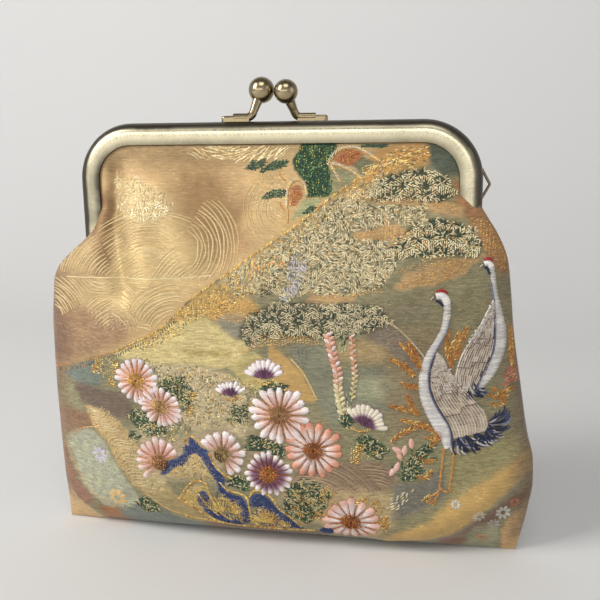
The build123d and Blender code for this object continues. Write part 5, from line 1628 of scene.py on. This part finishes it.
def rocks(silk, gilt):
    """Navy rocks with gilt outlines, and gold lichen on them."""
    shapes = (
        [(-29.8, 19.2), (-28.6, 21.6), (-27, 23.4), (-24.6, 24.6), (-22.6, 26.4), (-22.8, 27.6),
         (-21.4, 28.4), (-21, 30.6), (-19.6, 29.8), (-18.4, 28.2), (-16.4, 27.6), (-15.6, 25.4),
         (-14.4, 22.8), (-12.6, 20.6), (-12.4, 18), (-13.8, 17.4), (-14.8, 19.6), (-16.6, 22.6),
         (-18, 25.4), (-19.6, 26.4), (-21.4, 25.4), (-23, 23), (-25.6, 22), (-27.6, 20)],
        [(-13.4, 19.2), (-12.2, 16.8), (-10.4, 15.2), (-8, 14.6), (-6.8, 12), (-6.4, 8), (-7.6, 6),
         (-8.6, 9.6), (-9.6, 12.6), (-12, 14.4), (-14, 16.6)],
        [(-20, 12.4), (-18.8, 15.6), (-17.4, 15), (-15.6, 11), (-12, 7.4), (-8.6, 5.8), (-9, 4.6),
         (-13.6, 5.4), (-17.4, 8)],
        [(-5.8, 12.4), (-5, 15.6), (-2.6, 16.2), (-0.6, 14.6), (1, 12), (3.4, 9.6), (6.4, 6.6), (7.4, 4.6),
         (4.6, 5.6), (1.4, 9.2), (-1.6, 12)],
        [(11.6, 3.8), (12.6, 6), (14.4, 6.2), (15.4, 3.6), (13.4, 2.6)],
    )
    blues = [(4, NAVY), (2, srgb(66, 88, 146)), (3, srgb(28, 38, 78)), (1, srgb(124, 132, 156))]
    hollows = (
        [(-12.4, 15.4), (-9.4, 13.6), (-7.2, 11.8), (-6.4, 7), (-9, 5.4), (-12.6, 7), (-15.4, 10.8),
         (-16.2, 14), (-14, 17)],
        [(-5.2, 12), (-1, 12.4), (2.4, 8.6), (5.4, 5), (0, 4), (-4.4, 4.8)],
    )
    for seed, hollow in enumerate(hollows, start=223):
        grains(silk, hollow, [(3, NAVY), (2, srgb(146, 146, 140)), (2, srgb(98, 84, 62))], lean=-40,
               swirl=110, size=(1.5, 0.42), pitch=(0.9, 0.7), seed=seed, height=0.18, share=0.7)
        grains(gilt, hollow, [(3, GILT), (2, GILT_LIGHT), (1, GILT_ORANGE)], lean=-50, swirl=110,
               size=(1.4, 0.36), pitch=(0.9, 0.8), seed=seed + 2, height=0.24, share=0.5)
    for seed, shape in enumerate(shapes, start=200):
        silk.fill(rounded(shape, 0.6, True), NAVY, pitch=0.36, height=0.14, ragged=0.45, seed=seed)
        grains(silk, shape, blues, lean=60, swirl=120, size=(1.0, 0.4), pitch=(0.6, 0.62), seed=seed,
               height=0.26, reach=2.4)
    outlines = (
        [(-24.8, 13.2), (-22.6, 16.4), (-20.4, 18.2), (-17.4, 18), (-16.8, 15.8), (-15.6, 12.6),
         (-14.2, 9.4), (-11.6, 7)], [(-25, 12.6), (-21.6, 10.4), (-18.4, 7.8), (-15.4, 5.6)],
        [(-19.4, 14.6), (-17.6, 11.6), (-15, 8.4)],
        [(-13.4, 18.4), (-11.4, 16.4), (-8.6, 15.8), (-6.6, 14.6), (-6.2, 11), (-5.6, 7.4), (-4, 4.4)],
        [(-5.8, 15.2), (-4.4, 17), (-1.8, 16.6), (0.2, 14.8), (1.6, 12), (4.4, 9.6), (6.8, 6.4)],
        [(-15.8, 26.6), (-14.6, 23.4), (-12.4, 21), (-10.4, 20)],
        [(-22.4, 29.4), (-20.4, 31), (-18.4, 29.8), (-16.2, 28.4)],
        [(-24, 6.6), (-12, 4.6), (0, 3.8), (10, 4.2)],
    )
    for seed, line in enumerate(outlines, start=210):
        knots(gilt, line, [(3, GILT), (4, GILT_LIGHT), (1, GILT_ORANGE)], 0.86, 0.44, seed, 24, 0.36, 0.42)
    sprays = (((-14, 9), 6.2, 55, 150), ((-10.6, 9.2), 4.4, 20, 95), ((-2, 6.4), 5.6, 50, 150),
              ((2.6, 5), 3.6, 30, 110))
    rng = np.random.default_rng(220)
    for foot, reach, start, end in sprays:
        for angle in np.radians(np.linspace(start, end, 9)):
            r = np.linspace(0.15, rng.uniform(0.75, 1.0), 6) * reach
            curve = angle + 0.25 * np.linspace(0, 1, 6)
            tone = mix(srgb(214, 180, 84), GILT_LIGHT, rng.uniform())
            gilt.ribbon(spoke(foot, r, curve), np.linspace(0.55, 0.25, 6), tone, 0.3)
    grains(gilt, [(-4.6, 6), (-4, 10.4), (-1, 12), (0.4, 9), (0, 5)], [(2, GILT_ORANGE), (2, GILT)],
           lean=60, swirl=90, size=(0.9, 0.4), pitch=(0.9, 0.8), seed=221)
    grains(gilt, [(-24, 13), (-21.6, 16.4), (-20.4, 12), (-22, 10.6)],
           [(2, GILT), (1, GILT_LIGHT), (1, OLIVE)], lean=40, swirl=120, size=(0.9, 0.4), pitch=(0.8, 0.8),
           seed=222)


def sprigs(silk, gilt):
    """Hanging wisteria, buds, and small flowers in the corners."""
    rng = np.random.default_rng(230)
    strands = (([(14.7, 58.9), (15.8, 54), (17, 49), (17.3, 44), (18.2, 39.4)], 1.25),
               ([(20.4, 58.6), (20.8, 53.6), (21.2, 48.6), (20.6, 43.4)], 0.8))
    for line, size in strands:
        line = rounded(line, 0.62)
        fade = np.linspace(0, 1, len(line))
        for index, (x, y) in enumerate(line):
            side = -1 if index % 2 else 1
            turn = math.radians(90 - side * 48 + rng.uniform(-12, 12))
            steps = np.linspace(-0.8, 0.8, 5) * size
            pod = stroke(x + side * 0.35 * size, y, steps, turn)
            tone = mix(PEACH if index % 3 else mix(PINK, PETAL_WHITE, 0.5), CREAM,
                       smooth(fade[index], 0.45, 0.8))
            silk.ribbon(pod, 0.85 * size * np.array((0.4, 0.9, 1, 0.9, 0.4)),
                        tone * rng.uniform(0.92, 1.05), 0.34, across=5, sink=0.05)
        gilt.ribbon(line, 0.26, GILT, 0.42)
    grains(silk, [(17, 60.5), (17.4, 55), (19.6, 54.6), (20, 60)],
           [(2, CREAM_GREEN), (2, LEAF), (1, LEAF_DARK)], lean=80, size=(1.3, 0.42), seed=231, height=0.2)
    grains(silk, [(16.6, 45), (17, 38.6), (20.6, 38), (20.6, 44)],
           [(2, CREAM), (1, LEAF), (1, CREAM_GREEN)], lean=80, size=(1.0, 0.36), pitch=(0.9, 0.9), seed=232,
           height=0.16)
    for stem in ([(33, 22), (32.6, 26), (32.8, 30)], [(33, 23), (34.4, 27), (34.9, 30.6)],
                 [(33, 22), (31, 24.4), (30.2, 25.8)], [(36.8, 29.6), (38.6, 31.6), (40.4, 32)],
                 [(36.4, 26.6), (38.4, 28), (40.6, 28)], [(36, 24), (38, 24.6), (39.8, 24)]):
        knots(silk, stem, [(2, LEAF), (1, LEAF_LIGHT), (1, srgb(176, 176, 124))], 0.9, 0.5, seed=58,
              height=0.2, thick=0.34)
    for spot, lean in (((32, 28.6), 110), ((33.2, 30), 80), ((31.4, 30), 150), ((34.8, 31.8), 95),
                       ((31.4, 25.6), 70), ((30.4, 24.4), 60)):
        steps = np.linspace(-1.35, 1.35, 6)
        bud = stroke(*spot, steps, math.radians(lean))
        silk.ribbon(bud, 1.45 * np.array((0.3, 0.8, 1, 0.95, 0.7, 0.3)), mix(PEACH, PINK, rng.uniform()),
                    0.36, across=5)
    for spot, radius, tone in (((-47.4, 22.6), 2.5, LILAC * 0.96),
                               ((-43.6, 10.2), 2.9, srgb(236, 190, 120)),
                               ((45.8, 15.6), 1.3, srgb(206, 204, 190)),
                               ((51.6, 11.8), 1.7, srgb(198, 190, 172)),
                               ((57.6, 11.6), 2.0, srgb(196, 194, 184)),
                               ((55.4, 8.2), 1.7, srgb(170, 160, 148)),
                               ((52.6, 3), 1.5, srgb(196, 150, 110)),
                               ((60.4, 14.4), 1.3, srgb(176, 110, 84))):
        for angle in np.radians(np.arange(8) * 45 + rng.uniform(0, 45)):
            r = np.linspace(0.28, 1, 5) * radius
            silk.ribbon(spoke(spot, r, angle), radius * 0.5 * np.array((0.4, 0.8, 1, 0.9, 0.4)),
                        tone * rng.uniform(0.94, 1.04), 0.24)
    patch = [(-58, 23), (-55.6, 25.6), (-51, 27.6), (-47.6, 27), (-45, 23.4), (-42.4, 18), (-39, 12),
             (-36.6, 8.6), (-41, 6), (-46, 6.6), (-50.6, 10), (-55, 15.4)]
    for x, y in zip(*scatter(rng, patch, (3.1, 2.9), 238)):
        angle = np.linspace(0, 1.8 * math.pi, 12) + rng.uniform(0, 6)
        for radius in (0.75, 1.4):
            ring = np.stack([x + radius * np.cos(angle), y + 0.85 * radius * np.sin(angle)], 1)
            silk.ribbon(ring, 0.3, mix(srgb(186, 194, 166), srgb(212, 208, 170), rng.uniform()), 0.14)
    ribs(silk, [(-51, 34.4), (-48, 30.6), (-44.6, 26.4), (-41.8, 20.8), (-38.2, 15.2), (-34.2, 12.4)],
         [(-46, 36.4), (-42, 34), (-38.4, 31), (-35, 26.6), (-32.6, 20), (-29.4, 15.4)],
         [(3, srgb(208, 190, 146)), (1, srgb(188, 166, 122))], 0.9, 0.9, 0.42, seed=193)
    ribs(silk, [(-41, 20), (-37, 16), (-33, 13)], [(-35, 26.4), (-31, 21), (-28, 16)],
         [(2, srgb(212, 194, 148)), (1, srgb(190, 168, 120))], 0.9, -0.9, 0.4, seed=194)
    grains(silk, [(55.6, 45.6), (57, 49.6), (59.4, 50.4), (60, 46.6), (57.4, 44.4)],
           [(3, srgb(206, 112, 88)), (1, srgb(226, 150, 110))], lean=60, swirl=70, size=(1.3, 0.5),
           seed=233)
    hills = [(3, 18), (8, 25), (17, 27.6), (27, 27), (32, 23), (30, 18.4), (20, 17), (11, 16.6)]
    terraces = [((10.0, 9.0), 8.5, 20.0, 20, 110), ((25.0, 12.0), 6.5, 15.0, 40, 150)]
    waves(silk, terraces, 17, 28, hills, 239, (srgb(148, 126, 100), srgb(178, 152, 118)))
    grains(silk, hills, [(2, srgb(170, 148, 118)), (1, srgb(116, 100, 84))], lean=15, swirl=60,
           size=(1.8, 0.34), pitch=(2.2, 1.1), seed=234, height=0.1)
    grains(silk, [(28, 14), (31, 17.6), (35.6, 20), (34, 17), (30.6, 13)],
           [(2, srgb(222, 216, 196)), (1, CREAM)], lean=35, size=(1.5, 0.44), pitch=(1.2, 0.8), seed=235)
    grains(silk, [(24, 62), (27, 62.4), (31, 60), (34.4, 56), (31, 54.4), (26, 58)],
           [(2, srgb(164, 150, 132)), (1, srgb(104, 100, 92))], lean=10, swirl=30, size=(1.2, 0.3),
           pitch=(1.6, 0.9), seed=236, height=0.08)
    for line, tone in (([(23, 62.3), (26.4, 62.8), (30, 61.2), (33.8, 57.8), (37.8, 53)],
                        srgb(206, 190, 150)), ([(5.6, 52.6), (9, 48.6), (12, 42.4)], srgb(226, 200, 146)),
                       ([(28, 1), (36, 2.6), (44, 6.6), (49, 11)], srgb(214, 180, 110)),
                       ([(-34, 12.4), (-29, 8.6), (-22, 6.4), (-14, 4)], srgb(216, 186, 122)),
                       ([(-60, 24), (-55, 13.4), (-49, 8), (-42, 5)], srgb(204, 172, 118)),
                       ([(-58, 26.6), (-52, 29.6), (-46, 31)], srgb(206, 164, 116))):
        outline_thread(gilt, line, tone, 0.42, 0.16)
    grains(silk, [(4, 53), (6, 55), (10, 54.6), (9.4, 51), (6, 50.6)],
           [(2, srgb(132, 122, 130)), (1, srgb(110, 112, 104))], lean=60, swirl=80, size=(1.0, 0.36),
           pitch=(0.9, 0.9), seed=237)


def sage_flecks(gilt):
    """Scattered gilt ticks along the weft."""
    wide = [(26, 68), (52, 72), (58, 60), (60, 30), (50, 14), (34, 8), (24, 18), (16, 36), (14, 56)]
    grains(gilt, wide, [(2, srgb(178, 166, 118)), (1, GILT)], lean=0, swirl=10, size=(0.95, 0.2),
           pitch=(3.1, 2.1), seed=240, height=0.06, curl=5)


MOTIFS = [  # each becomes a silk piece and a gilt piece, in this order
    ("satin", gold_satin),
    ("border", border),
    ("foliage", foliage),
    ("village", village),
    ("leaves", leaves),
    ("rocks", rocks),
    ("sprigs", sprigs),
    ("flowers", flowers),
    ("cranes", cranes),
    ("sprays", lambda _, gilt: gilt_sprays(gilt)),
    ("flecks", lambda _, gilt: sage_flecks(gilt)),
]
BACK_TURN = (-1, 5, -4)  # the back is cut from the same cloth with its design the other way about
BACK_FOLDS = [
    ([(40, 97), (41, 88), (39, 76)], -0.8, 3.0),
    ([(30, 90), (31, 78), (29, 66)], 0.5, 6.0),
    ([(-64, 26), (-56, 17), (-44, 8), (-34, 2)], 1.0, 4.4),
    ([(-62, 16), (-54, 8), (-48, 2)], -0.85, 3.4),
    ([(58, 24), (54, 14), (48, 7)], -0.7, 3.0),
    ([(60, 42), (50, 38), (40, 36)], -0.6, 4.2),
]


# ---------------------------------------------------------------- camera and stage
CAMERA_PLACE = (41.9, -195.3, 105.0)
CAMERA_YAW, CAMERA_PITCH, CAMERA_ROLL = 10.5, 11.6, -0.7  # degrees, from the purse's front
CAMERA_LENS = 47.9
FLOOR_FRONT, FLOOR_BACK, FLOOR_HALF = -900.0, 220.0, 1100.0
SWEEP, WALL_TOP = 260.0, 1200.0  # radius of the curve up to the backdrop, and the backdrop's height
LAMPS = [  # name, place, aim, size in metres, power, colour
    ("window", (-0.62, -0.42, 0.55), (0, 0, 0.06), (0.3, 0.5), 5.6, (1.0, 0.975, 0.94)),
    ("front", (-0.2, -0.95, 0.22), (0, 0, 0.09), (1.3, 0.12), 1.3, (1.0, 0.96, 0.9)),
    ("high", (0.1, -0.5, 0.8), (0, 0, 0.06), (0.5, 0.4), 1.8, (1.0, 0.97, 0.93)),
    ("side", (0.7, -0.2, 0.25), (0, 0, 0.06), (0.3, 0.5), 0.4, (1.0, 0.94, 0.86)),
]
SKY = (0.12, 0.75, 0.55, 0.16)  # where its fade starts and ends, and how bright it is at each end


def make_camera():
    data = bpy.data.cameras.new("camera")
    data.lens = CAMERA_LENS
    data.sensor_width = 36
    data.clip_start = 0.01
    camera = bpy.data.objects.new("camera", data)
    bpy.context.scene.collection.objects.link(camera)
    turn = Matrix.Rotation(math.radians(CAMERA_YAW), 4, "Z")
    turn @= Matrix.Rotation(math.radians(90 - CAMERA_PITCH), 4, "X")
    turn @= Matrix.Rotation(math.radians(CAMERA_ROLL), 4, "Z")
    camera.matrix_world = Matrix.Translation(Vector(CAMERA_PLACE) * MM) @ turn
    bpy.context.scene.camera = camera


def make_lamp(name, place, target, size, power, colour):
    data = bpy.data.lights.new(name, "AREA")
    data.shape = "RECTANGLE"
    data.size, data.size_y = size
    data.energy = power
    data.color = colour
    lamp = bpy.data.objects.new(name, data)
    bpy.context.scene.collection.objects.link(lamp)
    lamp.location = place
    aim = Vector(target) - Vector(place)
    lamp.rotation_mode = "QUATERNION"
    lamp.rotation_quaternion = aim.to_track_quat("-Z", "Y")


def make_stage():
    """A pale sweep: a floor that curves up into a backdrop well behind the purse."""
    material = bpy.data.materials.new("pale_sweep")
    material.use_nodes = True
    shader = material.node_tree.nodes["Principled BSDF"]
    shader.inputs["Base Color"].default_value = (0.74, 0.74, 0.73, 1)
    shader.inputs["Roughness"].default_value = 0.85
    profile = [(FLOOR_FRONT, 0.0), (FLOOR_BACK, 0.0)]
    for a in np.linspace(0, math.pi / 2, 17)[1:]:
        profile.append((FLOOR_BACK + SWEEP * math.sin(a), SWEEP - SWEEP * math.cos(a)))
    profile.append((FLOOR_BACK + SWEEP, WALL_TOP))
    points = [(x, y, z) for y, z in profile for x in (-FLOOR_HALF, FLOOR_HALF)]
    make_mesh("floor", points, grid_faces(len(profile), 2), material)
    make_world()
    for lamp in LAMPS:
        make_lamp(*lamp)


def make_world():
    """A room that is bright round the horizon and darker overhead, as the brass mirrors it."""
    world = bpy.data.worlds.new("studio")
    world.use_nodes = True
    tree = world.node_tree
    back = tree.nodes["Background"]
    place = tree.nodes.new("ShaderNodeTexCoord")
    split = tree.nodes.new("ShaderNodeSeparateXYZ")
    fade = tree.nodes.new("ShaderNodeMapRange")
    fade.interpolation_type = "SMOOTHSTEP"
    tree.links.new(place.outputs["Generated"], split.inputs[0])
    tree.links.new(split.outputs[2], fade.inputs[0])
    for socket, value in zip(list(fade.inputs)[1:5], SKY):
        socket.default_value = value
    tree.links.new(fade.outputs[0], back.inputs["Strength"])
    back.inputs["Color"].default_value = (0.92, 0.94, 1.0, 1)
    bpy.context.scene.world = world


# ---------------------------------------------------------------- build
OUTLINE_SHARE = 0.88  # how much of its rectangle a cloth piece fills
INTERFACING_INSET = 0.75  # behind the face of the brocade
LINING_INSET = 1.4


def weave(face, name, groups, turn):
    """The raised threads of each group of motifs, as a silk piece and a gilt piece."""
    pieces = []
    for label, draw in groups:
        silk, gilt = Threads(face, turn), Threads(face, turn)
        draw(silk, gilt)
        for threads, material, kind in ((silk, SILK, "silk"), (gilt, GILT_STRIP, "gilt")):
            if threads.ribbons:
                pieces.append(threads.make(f"{name}_{label}_{kind}", material))
    return pieces


def rides_with_frame(piece):
    """Bakes the piece's placement into its mesh."""
    (HINGE - 1) * MM
    (HINGE + 5) * MM
    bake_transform(piece)


def fit(piece, flat, name, part):
    """Maps a cloth piece flat and puts it in place of its CAD pieces. Gives its size as cut, in metres."""
    chart = flat.reshape(-1, 2)
    low, high = chart.min(0), chart.max(0)
    set_bake_map(piece, (chart - low) / (high - low))
    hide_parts(f"{name}_{part}_lower", f"{name}_{part}_upper")
    rides_with_frame(piece)
    return (high - low) * MM


def hang(piece, name, cut, **pieces):
    """Works out the area of a cloth piece as cut, and keeps nothing of it."""
    float(OUTLINE_SHARE * cut[0] * cut[1])


def make_panel(side, name, folds, washes, groups, base, turn, step):
    """One brocade panel, its ground and the motifs woven on it."""
    panel = Panel(side, folds, step)
    rows, columns = panel.points.shape[:2]
    faces = grid_faces(rows, columns, flip=side == BACK)
    piece = make_mesh(f"{name}_brocade", panel.points.reshape(-1, 3), faces, BROCADE)
    colour, metal = ground(panel, washes, base, turn)
    paint(piece, "colour", linear(colour))
    mark(piece, "flat", np.column_stack([panel.viewed.reshape(-1, 2), np.zeros(rows * columns)]))
    share = piece.data.attributes.new("metal", "FLOAT", "POINT")
    share.data.foreach_set("value", metal.astype(np.float32))
    cut = fit(piece, panel.flat, name, "panel")
    motifs = weave(panel, name, groups, turn)
    for motif in motifs:
        rides_with_frame(motif)
    hang(piece, name, cut, with_pieces=motifs)


def make_layer(side, name, folds, layer, inset, material):
    """The interfacing or the lining behind a panel."""
    points, flat = folded_grid(side, folds, LAYER_STEP, inset)
    rows, columns = points.shape[:2]
    piece = make_mesh(f"{name}_{layer}", points.reshape(-1, 3), grid_faces(rows, columns, side == BACK),
                      material)
    hang(piece, name, fit(piece, flat, name, layer))


bpy.context.scene.view_settings.view_transform = "Standard"
make_camera()
make_stage()

FINISHES = {
    "frame": brass("frame_brass", (255, 244, 208), (94, 88, 76), roughness=0.2, brushing=1.0,
                   edge_shade=0.75, crown=0.6),
    "clasp": brass("clasp_brass", (178, 162, 128), (84, 72, 54), roughness=0.2, brushing=0.3, edge_shade=0.4),
    "rivet": brass("rivet_brass", (190, 170, 130), (86, 72, 52), roughness=0.3, brushing=0.3, edge_shade=0.4),
    "loop": brass("wire_brass", (150, 136, 108), (80, 68, 50), roughness=0.32, brushing=0.2, edge_shade=0.5),
    "paper_cord": paper_cord(),
    "": felt(),
}
for node, item in frame["nodes"].items():
    item.data.materials.clear()
    item.data.materials.append(next(finish for part, finish in FINISHES.items() if part in node))

FELT = FINISHES[""]
SATIN_LINING = satin_lining()
BROCADE = brocade_ground()
SILK = silk_thread()
GILT_STRIP = gilt_thread()
PANELS = [  # side, name, folds, how the design lies, and the step of its grid
    (FRONT, "front", FOLDS, AS_DRAWN, FINE_STEP),
    (BACK, "back", BACK_FOLDS, BACK_TURN, BACK_STEP),
]
for side, name, folds, turn, step in PANELS:
    make_panel(side, name, folds, DESIGN_GROUND, MOTIFS, SAGE, turn, step)
for side, name, folds, _, _ in PANELS:
    make_layer(side, name, folds, "interfacing", INTERFACING_INSET, FELT)
    make_layer(side, name, folds, "lining", LINING_INSET, SATIN_LINING)
